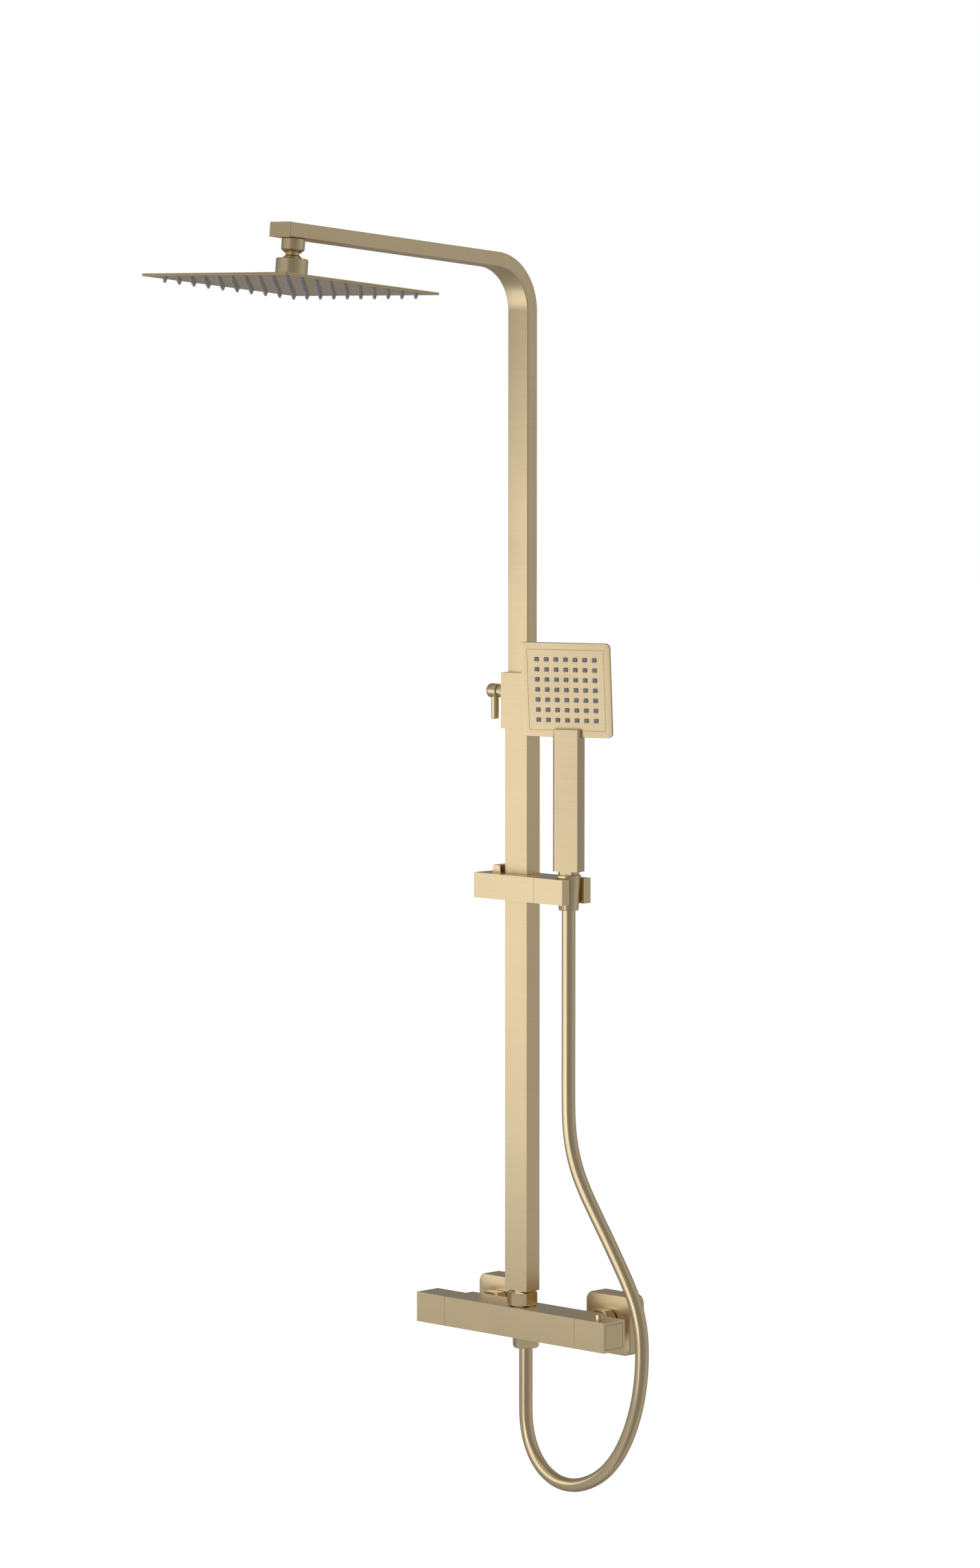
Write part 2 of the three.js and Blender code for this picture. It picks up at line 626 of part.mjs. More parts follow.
function wallFlange() {
  const outer = extruded(roundedSquare(FLANGE_SIDE, FLANGE_CORNER), FLANGE_DEPTH);
  const hollow = extruded(
    roundedSquare(FLANGE_SIDE - 2 * FLANGE_WALL, FLANGE_CORNER - FLANGE_WALL),
    FLANGE_DEPTH,
  );
  const hole = rod("z", CONNECTOR_THREAD_RADIUS + GAP, FLANGE_DEPTH + 2 * PAST, [0, 0, -PAST]);
  return cut(outer, hollow.translate(0, 0, -FLANGE_WALL), hole).rotateX(Math.PI / 2);
}

function inletWasher() {
  const washer = ring(SPIGOT_RADIUS - GAP, CONNECTOR_BORE, 0, WASHER, 16);
  return washer.rotateX(-Math.PI / 2).translate(0, CONNECTOR_FRONT - GAP - WASHER, 0);
}

for (const [side, x] of [["hot", -INLET_X], ["cold", INLET_X]]) {
  const inlet = new THREE.Group();
  inlet.position.x = x;
  column.add(inlet);
  add(side + "_filter_washer", inletWasher(), SEAL_RUBBER, inlet);
  add(side + "_union_nut", unionNut(), SATIN_GOLD, inlet);
  add(side + "_inlet_connector", inletConnector(), RAW_BRASS, inlet);
  add(side + "_wall_flange", wallFlange(), BRUSHED_GOLD, inlet);
}

// ---------------------------------------------------------------- riser

const riser = new THREE.Group();
riser.position.y = TUBE_Y;
column.add(riser);

const LOWER_INNER = [LOWER_TUBE_WIDTH - 2 * TUBE_WALL, LOWER_TUBE_DEPTH - 2 * TUBE_WALL];
const UPPER_INNER = [UPPER_TUBE_WIDTH - 2 * TUBE_WALL, UPPER_TUBE_DEPTH - 2 * TUBE_WALL];
const RISER_NUT_BOTTOM = VALVE_TOP + GAP;
const RISER_NUT_TOP = RISER_NUT_BOTTOM + RISER_NUT_HEIGHT;
const RISER_LIP = 5;
const RISER_FLANGE = 2;
const RISER_FLANGE_BOTTOM = RISER_NUT_TOP - RISER_LIP - GAP - RISER_FLANGE;
const RISER_PLUG_LENGTH = 14;

function riserNut() {
  return cut(
    hexagon("z", RISER_NUT_FLATS, RISER_NUT_HEIGHT, [0, 0, RISER_NUT_BOTTOM]),
    rod("z", RISER_NIPPLE_RADIUS + GAP, RISER_NUT_HEIGHT - RISER_LIP + PAST, [0, 0, RISER_NUT_BOTTOM - PAST]),
    rod("z", RISER_NECK_RADIUS + GAP, RISER_NUT_HEIGHT, [0, 0, RISER_NUT_BOTTOM + PAST]),
  );
}

function riserSpigot() {
  const neckTop = LOWER_TUBE_BOTTOM - GAP;
  const [width, depth] = LOWER_INNER.map((size) => size / 2 - GAP);
  return cut(
    join(
      rod("z", RISER_NIPPLE_RADIUS, RISER_FLANGE, [0, 0, RISER_FLANGE_BOTTOM]),
      rod("z", RISER_NECK_RADIUS, neckTop - RISER_FLANGE_BOTTOM, [0, 0, RISER_FLANGE_BOTTOM]),
      block([-width, width], [-depth, depth], [neckTop - ROOT, neckTop + RISER_PLUG_LENGTH]),
    ),
    rod("z", RISER_BORE, THROUGH, [0, 0, RISER_FLANGE_BOTTOM - PAST], 16),
  );
}

function riserWasher() {
  const bottom = VALVE_TOP + RISER_NIPPLE_LENGTH + GAP;
  return ring(RISER_NIPPLE_RADIUS, RISER_BORE, bottom, RISER_FLANGE_BOTTOM - GAP, 16);
}

// The clamp screw's way through the collar's boss, its wall and the lower tube's wall.
function clampHole() {
  const start = -COLLAR_WIDTH / 2 - CLAMP_BOSS_LENGTH - PAST;
  return rod("x", CLAMP_SCREW_HOLE, -start, [start, 0, CLAMP_Z], 12);
}

function lowerTube() {
  const span = [LOWER_TUBE_BOTTOM, LOWER_TUBE_TOP];
  return cut(rectTube([LOWER_TUBE_WIDTH, LOWER_TUBE_DEPTH], LOWER_INNER, span, [0, 0]), clampHole());
}

const SEAL_HEIGHT = 2.8;
const BRACKET_PIN_RADIUS = 4;

function lockCollar() {
  const span = [COLLAR_BOTTOM, COLLAR_TOP];
  const seat = [LOWER_TUBE_WIDTH / 2 + RUN, LOWER_TUBE_DEPTH / 2 + RUN];
  const mouth = [UPPER_TUBE_WIDTH / 2 + RUN, UPPER_TUBE_DEPTH / 2 + RUN];
  const boss = rod("x", CLAMP_RADIUS, CLAMP_BOSS_LENGTH + ROOT, [
    -COLLAR_WIDTH / 2 - CLAMP_BOSS_LENGTH,
    0,
    CLAMP_Z,
  ]);
  const outer = block([-COLLAR_WIDTH / 2, COLLAR_WIDTH / 2], [-COLLAR_DEPTH / 2, COLLAR_DEPTH / 2], span);
  return cut(
    join(outer, boss),
    block(
      [-seat[0], seat[0]],
      [-seat[1], seat[1]],
      [COLLAR_BOTTOM - PAST, LOWER_TUBE_TOP + 2 * GAP + SEAL_HEIGHT],
    ),
    block([-mouth[0], mouth[0]], [-mouth[1], mouth[1]], [COLLAR_BOTTOM, COLLAR_TOP + PAST]),
    clampHole(),
    rod("y", BRACKET_PIN_RADIUS + GAP, COLLAR_WALL + 2 * PAST, [0, seat[1] - PAST, BRACKET_Z], 12),
  );
}

function collarSeal() {
  const inner = [UPPER_TUBE_WIDTH + RUN, UPPER_TUBE_DEPTH + RUN];
  const bottom = LOWER_TUBE_TOP + GAP;
  return rectTube([LOWER_TUBE_WIDTH, LOWER_TUBE_DEPTH], inner, [bottom, bottom + SEAL_HEIGHT], [0, 0]);
}

add("riser_nut", riserNut(), SATIN_GOLD, riser);
add("riser_washer", riserWasher(), SEAL_RUBBER, riser);
add("riser_spigot", riserSpigot(), SATIN_GOLD, riser);
add("lower_tube", lowerTube(), BRUSHED_GOLD, riser);
add("lock_collar", lockCollar(), BRUSHED_GOLD, riser);
add("collar_seal", collarSeal(), SEAL_RUBBER, riser);

// ---------------------------------------------------------------- clamp knob

const KNOB_END = -COLLAR_WIDTH / 2 - CLAMP_BOSS_LENGTH - CLAMP_GROOVE_LENGTH - CLAMP_KNOB_LENGTH;
const KNOB_FOOT = KNOB_END + CLAMP_KNOB_LENGTH;
const LEVER_X = KNOB_END + LEVER_INSET;

function clampKnob() {
  const screwTip = -UPPER_TUBE_WIDTH / 2 - RUN;
  const solid = join(
    rod("x", CLAMP_RADIUS, CLAMP_KNOB_LENGTH, [KNOB_END, 0, CLAMP_Z]),
    rod("x", CLAMP_GROOVE_RADIUS, CLAMP_GROOVE_LENGTH - GAP + ROOT, [KNOB_FOOT - ROOT, 0, CLAMP_Z]),
    rod("x", CLAMP_SCREW_RADIUS, screwTip - KNOB_FOOT, [KNOB_FOOT, 0, CLAMP_Z], 12),
  );
  const socketFoot = CLAMP_Z - LEVER_SEAT - LEVER_REACH;
  return cut(solid, rod("z", LEVER_RADIUS + GAP, LEVER_REACH, [LEVER_X, 0, socketFoot], 16));
}

function clampLever() {
  const length = LEVER_REACH - LEVER_SEAT - GAP;
  return rod("z", LEVER_RADIUS, length, [LEVER_X, 0, CLAMP_Z - LEVER_REACH], 16);
}

add("clamp_knob", clampKnob(), SATIN_GOLD, riser);
add("clamp_lever", clampLever(), SATIN_GOLD, riser);

// ---------------------------------------------------------------- wall bracket

const COLLAR_BACK = TUBE_Y + COLLAR_DEPTH / 2;
const BRACKET_HALF = BRACKET_SIDE / 2;

function bracketArm() {
  const front = COLLAR_BACK + GAP;
  const back = -BRACKET_FLANGE_DEPTH - GAP;
  const solid = join(
    block([-BRACKET_HALF, BRACKET_HALF], [front, back], [-BRACKET_HALF, BRACKET_HALF]),
    rod("y", BRACKET_PIN_RADIUS, COLLAR_WALL, [0, front - COLLAR_WALL + ROOT, 0], 12),
  );
  const socket = rod("y", BRACKET_BOSS_RADIUS + GAP, BRACKET_BOSS_LENGTH + 2 * PAST, [
    0,
    back - BRACKET_BOSS_LENGTH - PAST,
    0,
  ]);
  return cut(solid, socket);
}

function bracketFlange() {
  const half = BRACKET_FLANGE_SIDE / 2;
  const boss = -BRACKET_FLANGE_DEPTH - BRACKET_BOSS_LENGTH;
  const solid = join(
    block([-half, half], [-BRACKET_FLANGE_DEPTH, 0], [-half, half]),
    rod("y", BRACKET_BOSS_RADIUS, BRACKET_BOSS_LENGTH + ROOT, [0, boss, 0]),
  );
  return cut(
    solid,
    rod("y", BRACKET_SCREW_RADIUS + GAP, THROUGH, [0, boss - PAST, 0], 12),
    rod("y", 2 * BRACKET_SCREW_RADIUS + GAP, BRACKET_SCREW_SINK + PAST, [0, boss - PAST, 0], 12),
  );
}

function bracketScrew() {
  const seat = -BRACKET_FLANGE_DEPTH - BRACKET_BOSS_LENGTH + BRACKET_SCREW_SINK - GAP;
  const length = BRACKET_SCREW_INTO_WALL - seat + ROOT;
  return join(
    rod("y", 2 * BRACKET_SCREW_RADIUS, BRACKET_SCREW_HEAD, [0, seat - BRACKET_SCREW_HEAD, 0], 12),
    rod("y", BRACKET_SCREW_RADIUS, length, [0, seat - ROOT, 0], 12),
  );
}

const bracket = new THREE.Group();
bracket.position.z = BRACKET_Z;
column.add(bracket);
add("bracket_arm", bracketArm(), BRUSHED_GOLD, bracket);
add("bracket_flange", bracketFlange(), BRUSHED_GOLD, bracket);
add("bracket_screw", bracketScrew(), STEEL, bracket);

// ---------------------------------------------------------------- upper tube and arm

// The arm leaves the bend at this angle from straight up.
const BEND_TURN = Math.PI / 2 - ARM_RISE;
const BEND_SEGMENTS = 14;
const ARM_END_RUN = armRun(ARM_REACH);

// The length of straight arm after the bend that reaches this far in front of the riser's centre line.
function armRun(reach) {
  const bendReach = BEND_RADIUS * (1 - Math.cos(BEND_TURN));
  return (reach - bendReach) / Math.cos(ARM_RISE);
}

// A point of the tube's side view, this far along the arm and this far above its centre line.
function armPoint(run, above) {
  const bendEnd = new THREE.Vector2(
    -BEND_RADIUS * (1 - Math.cos(BEND_TURN)),
    BEND_START + BEND_RADIUS * Math.sin(BEND_TURN),
  );
  return new THREE.Vector2(
    bendEnd.x - run * Math.cos(ARM_RISE) + above * Math.sin(ARM_RISE),
    bendEnd.y + run * Math.sin(ARM_RISE) + above * Math.cos(ARM_RISE),
  );
}

// The bent tube's side view as a band of this half depth, drawn in the (Y, Z) plane and extruded along X.
function bentBand(half, width, bottom, run) {
  const shape = new THREE.Shape();
  shape.moveTo(half, bottom);
  shape.lineTo(half, BEND_START);
  shape.absarc(-BEND_RADIUS, BEND_START, BEND_RADIUS + half, 0, BEND_TURN, false);
  const over = armPoint(run, half);
  shape.lineTo(over.x, over.y);
  const under = armPoint(run, -half);
  shape.lineTo(under.x, under.y);
  shape.absarc(-BEND_RADIUS, BEND_START, BEND_RADIUS - half, BEND_TURN, 0, true);
  shape.lineTo(-half, bottom);
  const band = extruded(shape, width, BEND_SEGMENTS);
  return band.translate(0, 0, -width / 2).rotateY(Math.PI / 2).rotateX(Math.PI / 2);
}

const UPPER_BOTTOM = COLLAR_TOP - UPPER_TUBE_IN;
const ARM_HALF = UPPER_TUBE_DEPTH / 2;

// The head's own frame: its origin on the arm's underside, its Z along the neck.
const headPlace = armPoint(armRun(HEAD_REACH) - ARM_HALF * Math.tan(ARM_RISE), -ARM_HALF);
const neck = new THREE.Group();
neck.position.set(0, TUBE_Y + headPlace.x, headPlace.y);
neck.rotation.x = -ARM_RISE;
column.add(neck);

function upperTube() {
  const run = ARM_END_RUN - END_CAP_THICKNESS - GAP;
  const [innerWidth, innerDepth] = UPPER_INNER;
  const outer = bentBand(ARM_HALF, UPPER_TUBE_WIDTH, UPPER_BOTTOM, run);
  const inner = bentBand(innerDepth / 2, innerWidth, UPPER_BOTTOM - PAST, run + PAST);
  const stemHole = rod("z", STEM_RADIUS + GAP, ARM_HALF, [0, 0, -PAST], 16);
  stemHole.rotateX(-ARM_RISE).translate(0, headPlace.x, headPlace.y);
  return cut(outer, inner, stemHole);
}

function armEndCap() {
  const cap = block(
    [-UPPER_TUBE_WIDTH / 2, UPPER_TUBE_WIDTH / 2],
    [-END_CAP_THICKNESS, 0],
    [-ARM_HALF, ARM_HALF],
  );
  const [width, depth] = UPPER_INNER.map((size) => size / 2 - GAP);
  const plug = block([-width, width], [-ROOT, END_PLUG_LENGTH], [-depth, depth]);
  const place = armPoint(ARM_END_RUN - END_CAP_THICKNESS, 0);
  return join(cap, plug).rotateX(-ARM_RISE).translate(0, place.x, place.y);
}

const GUIDE_LENGTH = 14;
const GUIDE_SPIGOT = 10;

function telescopeGuide() {
  const [wide, deep] = LOWER_INNER.map((size) => size / 2 - RUN);
  const [width, depth] = UPPER_INNER.map((size) => size / 2 - GAP);
  const top = UPPER_BOTTOM - GAP;
  return cut(
    join(
      block([-wide, wide], [-deep, deep], [top - GUIDE_LENGTH, top]),
      block([-width, width], [-depth, depth], [top - ROOT, top + GUIDE_SPIGOT]),
    ),
    block(
      [-width / 2, width / 2],
      [-depth / 2, depth / 2],
      [top - GUIDE_LENGTH - PAST, top + GUIDE_SPIGOT + PAST],
    ),
  );
}

add("upper_tube", upperTube(), BRUSHED_GOLD, riser);
add("arm_end_cap", armEndCap(), BRUSHED_GOLD, riser);
add("telescope_guide", telescopeGuide(), WHITE_PLASTIC, riser);

// ---------------------------------------------------------------- rain head

const SEAT_RADIUS = BALL_RADIUS + RUN;
const SEAL_RADIUS = SEAT_RADIUS + BALL_LINER + RUN;
const NUT_BORE = SEAL_RADIUS + BALL_LINER + RUN;
const BALL_NUT_RADIUS = NUT_BORE + BALL_NUT_WALL;
const BALL_DROP = HEAD_COLLAR_LENGTH + HEAD_COLLAR_CHAMFER + BALL_RADIUS;
const BALL_NUT_TOP = BALL_DROP - BALL_NUT_ABOVE_BALL;
const INLET_BOSS_TOP = -BALL_DROP - BALL_RADIUS - BALL_TO_BOSS;
const HEAD_TOP_DROP = INLET_BOSS_HEIGHT - INLET_BOSS_TOP;
const HEAD_INLET_RADIUS = 6;

// The radius of a ball of this size at this height on the neck.
function ballRadius(radius, height) {
  return Math.sqrt(radius * radius - (height + BALL_DROP) * (height + BALL_DROP));
}

function headCollar() {
  const foot = -HEAD_COLLAR_LENGTH;
  const bore = STEM_RADIUS + GAP;
  return turned([
    [bore, foot - HEAD_COLLAR_CHAMFER],
    [bore + HEAD_COLLAR_TIP, foot - HEAD_COLLAR_CHAMFER],
    [HEAD_COLLAR_RADIUS, foot],
    [HEAD_COLLAR_RADIUS, -GAP],
    [bore, -GAP],
  ]);
}

function ballStem() {
  const waist = -BALL_DROP + Math.sqrt(BALL_RADIUS ** 2 - STEM_RADIUS ** 2);
  const bottom = -BALL_DROP - Math.sqrt(BALL_RADIUS ** 2 - STEM_BORE ** 2);
  const top = TUBE_WALL + STEM_INTO_ARM;
  const profile = [[STEM_BORE, bottom]];
  const steps = 9;
  for (let i = 1; i <= steps; i++) {
    const height = bottom + ((waist - bottom) * i) / steps;
    profile.push([ballRadius(BALL_RADIUS, height), height]);
  }
  profile.push([STEM_RADIUS, top], [STEM_BORE, top]);
  return turned(profile);
}

// A thin round cup that fits over the ball, between two angles below the ball's middle.
function ballLiner(radius, above, below) {
  const profile = [];
  const steps = 5;
  for (const [size, from, to] of [
    [radius, above, below],
    [radius + BALL_LINER, below, above],
  ]) {
    for (let i = 0; i <= steps; i++) {
      const angle = THREE.MathUtils.degToRad(from + ((to - from) * i) / steps);
      profile.push([size * Math.cos(angle), -BALL_DROP - size * Math.sin(angle)]);
    }
  }
  return turned(profile);
}

function ballNut() {
  const foot = -HEAD_TOP_DROP + GAP;
  const lip = -BALL_NUT_TOP - BALL_NUT_LIP;
  return turned([
    [NUT_BORE, foot],
    [BALL_NUT_RADIUS, foot],
    [BALL_NUT_RADIUS, -BALL_NUT_TOP],
    [ballRadius(SEAT_RADIUS, -BALL_NUT_TOP), -BALL_NUT_TOP],
    [ballRadius(SEAT_RADIUS, lip), lip],
    [NUT_BORE, lip - BALL_NUT_LIP],
  ]);
}

const HEAD_HALF = HEAD_SIDE / 2;
const BACK_RIM_TOP = -HEAD_TOP_DROP - HEAD_PAD_RISE;
const MAT_TOP = BACK_RIM_TOP - HEAD_BACK_SKIN - SHEET_GAP;
const MAT_BOTTOM = MAT_TOP - HEAD_MAT_THICKNESS;
const FACE_TOP = MAT_BOTTOM - SHEET_GAP;
const FACE_BOTTOM = FACE_TOP - HEAD_FACE_THICKNESS;
const MAT_HALF = HEAD_HALF - HEAD_RIM_WIDTH;

// A square frustum between two heights.
function taperedPad(bottomHalf, topHalf, bottom, top) {
  const pad = rod("z", bottomHalf * Math.SQRT2, top - bottom, [0, 0, 0], 4, topHalf * Math.SQRT2);
  return pad.rotateZ(Math.PI / 4).translate(0, 0, bottom);
}

// The rim's side walls reach down beside the mat to the face plate.
function headBackPlate() {
  const rim = extruded(roundedSquare(HEAD_SIDE, HEAD_CORNER), BACK_RIM_TOP - MAT_BOTTOM);
  const pad = HEAD_HALF - HEAD_PAD_INSET;
  const skin = 2 * HEAD_BACK_SKIN;
  const bossHeight = INLET_BOSS_TOP + HEAD_TOP_DROP + skin / 2;
  const boss = rod("z", NUT_BORE - GAP, bossHeight, [0, 0, -HEAD_TOP_DROP - skin / 2]);
  const solid = join(
    rim.translate(0, 0, MAT_BOTTOM),
    taperedPad(pad + HEAD_PAD_SLOPE, pad, BACK_RIM_TOP - SHEET_GAP, -HEAD_TOP_DROP),
    boss,
  );
  const pocket = MAT_HALF + SHEET_GAP;
  return cut(
    solid,
    block([-pocket, pocket], [-pocket, pocket], [MAT_BOTTOM - PAST, MAT_TOP + SHEET_GAP]),
    taperedPad(pad + HEAD_PAD_SLOPE - skin, pad - skin, MAT_TOP, -HEAD_TOP_DROP - HEAD_BACK_SKIN),
    rod("z", HEAD_INLET_RADIUS, THROUGH, [0, 0, MAT_TOP], 16),
  );
}

// One shape at each place of a square grid centred on the origin.
function eachNozzle(count, pitch, shapeAt) {
  const first = (-(count - 1) / 2) * pitch;
  const places = Array.from({ length: count }, (_, i) => first + i * pitch);
  return places.flatMap((y) => places.map((x) => shapeAt(x, y)));
}

function headNozzleMat() {
  const mat = block([-MAT_HALF, MAT_HALF], [-MAT_HALF, MAT_HALF], [MAT_BOTTOM, MAT_TOP]);
  const tip = FACE_BOTTOM - HEAD_NOZZLE_LENGTH;
  const length = MAT_BOTTOM - tip + ROOT;
  const nozzles = eachNozzle(HEAD_NOZZLES, HEAD_PITCH, (x, y) =>
    rod("z", HEAD_NOZZLE_TIP_RADIUS, length, [x, y, tip], 4, HEAD_NOZZLE_RADIUS),
  );
  return join(mat, ...nozzles);
}

function headFacePlate() {
  const plate = extruded(roundedSquare(HEAD_SIDE, HEAD_CORNER), HEAD_FACE_THICKNESS);
  const holes = eachNozzle(HEAD_NOZZLES, HEAD_PITCH, (x, y) =>
    rod("z", HEAD_NOZZLE_RADIUS + GAP, HEAD_FACE_THICKNESS + 2 * PAST, [x, y, -PAST], 4),
  );
  return cut(plate, ...holes).translate(0, 0, FACE_BOTTOM);
}

add("swivel_collar", headCollar(), SATIN_GOLD, neck);
add("ball_stem", ballStem(), SATIN_GOLD, neck);
add("ball_seat", ballLiner(SEAT_RADIUS, 7, 36), WHITE_PLASTIC, neck);
add("ball_seal", ballLiner(SEAL_RADIUS, 10, 40), SEAL_RUBBER, neck);
add("ball_nut", ballNut(), SATIN_GOLD, neck);
add("head_back_plate", headBackPlate(), BRUSHED_GOLD, neck);
add("head_nozzle_mat", headNozzleMat(), NOZZLE_SILICONE, neck);
add("head_face_plate", headFacePlate(), BRUSHED_GOLD, neck);

// ---------------------------------------------------------------- slider and holder

const SLIDER_SPAN_Y = [SLIDER_Y - SLIDER_DEPTH / 2, SLIDER_Y + SLIDER_DEPTH / 2];
const SLIDER_SPAN_Z = [SLIDER_BOTTOM, SLIDER_TOP];
const LINER_OUTER = [LOWER_TUBE_WIDTH + 2 * (RUN + LINER_WALL), LOWER_TUBE_DEPTH + 2 * (RUN + LINER_WALL)];
const HOLDER_START = SLIDER_RIGHT + GAP / 2;
const SLIDER_END = SLIDER_RIGHT - GAP / 2;
const RELEASE_X = LINER_OUTER[0] / 2 + RELEASE_TO_LINER + RELEASE_WIDTH / 2; // left of the riser's centre line
const RELEASE_FLOOR = SLIDER_TOP - RELEASE_POCKET_DEPTH;
const RELEASE_FOOT = RELEASE_FLOOR + RELEASE_STROKE + 2 * GAP;
const RELEASE_Y = TUBE_Y - RELEASE_FRONT + RELEASE_DEPTH / 2;
const PIVOT_START = 24;
const PIVOT_HEAD = 3.4;
const SLOT_BACK = HANDSET_X - CONE_TOP_RADIUS - GAP;
const PIVOT_SEAT = SLOT_BACK - PIVOT_HEAD - 2 * GAP;

function sliderBody() {
  const hole = LINER_OUTER.map((size) => size / 2 + GAP);
  const half = RELEASE_WIDTH / 2 + RUN;
  const depth = RELEASE_DEPTH / 2 + RUN;
  return cut(
    block([-SLIDER_LEFT, SLIDER_END], SLIDER_SPAN_Y, SLIDER_SPAN_Z),
    block(
      [-hole[0], hole[0]],
      [TUBE_Y - hole[1], TUBE_Y + hole[1]],
      [SLIDER_BOTTOM - PAST, SLIDER_TOP + PAST],
    ),
    block(
      [-RELEASE_X - half, -RELEASE_X + half],
      [RELEASE_Y - depth, RELEASE_Y + depth],
      [RELEASE_FLOOR, SLIDER_TOP + PAST],
    ),
    rod("x", PIVOT_RADIUS + RUN, SLIDER_END, [PIVOT_START - PAST, SLIDER_Y, PIVOT_Z], 16),
  );
}

function sliderLiner() {
  const inner = [LOWER_TUBE_WIDTH + 2 * RUN, LOWER_TUBE_DEPTH + 2 * RUN];
  return rectTube(LINER_OUTER, inner, [SLIDER_BOTTOM + LINER_INSET, SLIDER_TOP - LINER_INSET], [0, TUBE_Y]);
}

function releaseButton() {
  const half = RELEASE_WIDTH / 2;
  const topHalf = RELEASE_TOP_WIDTH / 2;
  const top = SLIDER_TOP + RELEASE_RISE;
  const shape = new THREE.Shape();
  shape.moveTo(-half, RELEASE_FOOT);
  shape.lineTo(half, RELEASE_FOOT);
  shape.lineTo(half, SLIDER_TOP);
  shape.lineTo(topHalf, top);
  shape.lineTo(-topHalf, top);
  shape.lineTo(-half, SLIDER_TOP);
  const button = extruded(shape, RELEASE_DEPTH).rotateX(Math.PI / 2);
  return button.translate(-RELEASE_X, RELEASE_Y + RELEASE_DEPTH / 2, 0);
}

// A cone that follows the handset's cone, this much larger all round.
function coneSpace(clearance) {
  const slope = (CONE_TOP_RADIUS - CONE_BOTTOM_RADIUS) / CONE_LENGTH;
  const bottom = SLIDER_BOTTOM - PAST;
  const top = SLIDER_TOP + PAST;
  const radiusAt = (z) => CONE_BOTTOM_RADIUS + (z - CONE_BOTTOM) * slope + clearance;
  return rod("z", radiusAt(bottom), top - bottom, [HANDSET_X, SLIDER_Y, bottom], 24, radiusAt(top));
}

function holderFork() {
  const slot = HOLDER_SLOT / 2;
  return cut(
    block([HOLDER_START, HOLDER_END], SLIDER_SPAN_Y, SLIDER_SPAN_Z),
    coneSpace(RUN),
    block(
      [HANDSET_X, HOLDER_END + PAST],
      [SLIDER_Y - slot, SLIDER_Y + slot],
      [SLIDER_BOTTOM - PAST, SLIDER_TOP + PAST],
    ),
    rod("x", PIVOT_RADIUS + RUN, HANDSET_X - HOLDER_START, [HOLDER_START - PAST, SLIDER_Y, PIVOT_Z], 16),
    rod("x", PIVOT_HEAD_RADIUS + GAP, HANDSET_X - PIVOT_SEAT, [PIVOT_SEAT - GAP, SLIDER_Y, PIVOT_Z], 16),
  );
}

function pivotBolt() {
  return join(
    rod("x", PIVOT_RADIUS, PIVOT_SEAT - PIVOT_START + ROOT, [PIVOT_START, SLIDER_Y, PIVOT_Z], 16),
    rod("x", PIVOT_HEAD_RADIUS, PIVOT_HEAD, [PIVOT_SEAT, SLIDER_Y, PIVOT_Z], 16),
  );
}

add("slider_body", sliderBody(), BRUSHED_GOLD);
add("slider_liner", sliderLiner(), WHITE_PLASTIC);
add("release_button", releaseButton(), SATIN_GOLD);
add("holder_fork", holderFork(), BRUSHED_GOLD);
add("pivot_bolt", pivotBolt(), STEEL);

const releaseSpring = spring(RELEASE_SPRING, RELEASE_FOOT - RELEASE_FLOOR - GAP);
releaseSpring.translate(-RELEASE_X, RELEASE_Y, RELEASE_FLOOR + GAP / 2);
add("release_spring", releaseSpring, STEEL);

// ---------------------------------------------------------------- handset

const handset = new THREE.Group();
handset.position.set(HANDSET_X, SLIDER_Y, 0);
handset.rotation.z = HANDSET_YAW;
column.add(handset);

// The spray face's own frame: its origin at the face's centre, its -Y out of the face.
const spray = new THREE.Group();
spray.position.set(0, -SLAB_FORWARD, GRIP_BOTTOM + SLAB_CENTRE);
spray.rotation.x = HANDSET_LEAN;
handset.add(spray);

const HOSE_TOP = HOSE_ROUTE[HOSE_ROUTE.length - 1][2];
const HOSE_BORE = HOSE_DIAMETER / 2 + GAP;
const NIPPLE_BOTTOM = RING_TOP + GAP - NIPPLE_LENGTH;

function hoseConeNut() {
  const shoulder = HOSE_TOP + GAP;
  const ringRadius = CONE_TOP_RADIUS + CONE_RING_LIP;
  return turned([
    [HOSE_BORE, CONE_BOTTOM],
    [CONE_BOTTOM_RADIUS - CONE_EDGE, CONE_BOTTOM],
    [CONE_BOTTOM_RADIUS, CONE_BOTTOM + CONE_EDGE],
    [CONE_TOP_RADIUS, CONE_TOP],
    [ringRadius, CONE_TOP + CONE_EDGE],
    [ringRadius, RING_TOP - CONE_EDGE],
    [ringRadius - CONE_EDGE, RING_TOP],
    [NIPPLE_RADIUS + GAP, RING_TOP],
    [NIPPLE_RADIUS + GAP, shoulder],
    [HOSE_BORE, shoulder],
  ]);
}

function hoseWasher() {
  return ring(NIPPLE_RADIUS, WATER_TUBE_RADIUS, HOSE_TOP + 2 * GAP, NIPPLE_BOTTOM - GAP, 16);
}

// A box with its four upright edges cut off at an angle.
function chamferedBar(width, depth, chamfer, [z0, z1]) {
  const [w, d] = [width / 2, depth / 2];
  const shape = new THREE.Shape();
  shape.moveTo(-w + chamfer, -d);
  shape.lineTo(w - chamfer, -d);
  shape.lineTo(w, -d + chamfer);
  shape.lineTo(w, d - chamfer);
  shape.lineTo(w - chamfer, d);
  shape.lineTo(-w + chamfer, d);
  shape.lineTo(-w, d - chamfer);
  shape.lineTo(-w, -d + chamfer);
  return extruded(shape, z1 - z0).translate(0, 0, z0);
}

// The space that the spray slab takes out of the grip's top.
function slabSpace() {
  const half = SLAB_SIDE / 2 + GAP;
  const space = block([-half, half], [-GAP, SLAB_THICKNESS + GAP], [-half, half]);
  return space.rotateX(HANDSET_LEAN).translate(0, -SLAB_FORWARD, GRIP_BOTTOM + SLAB_CENTRE);
}

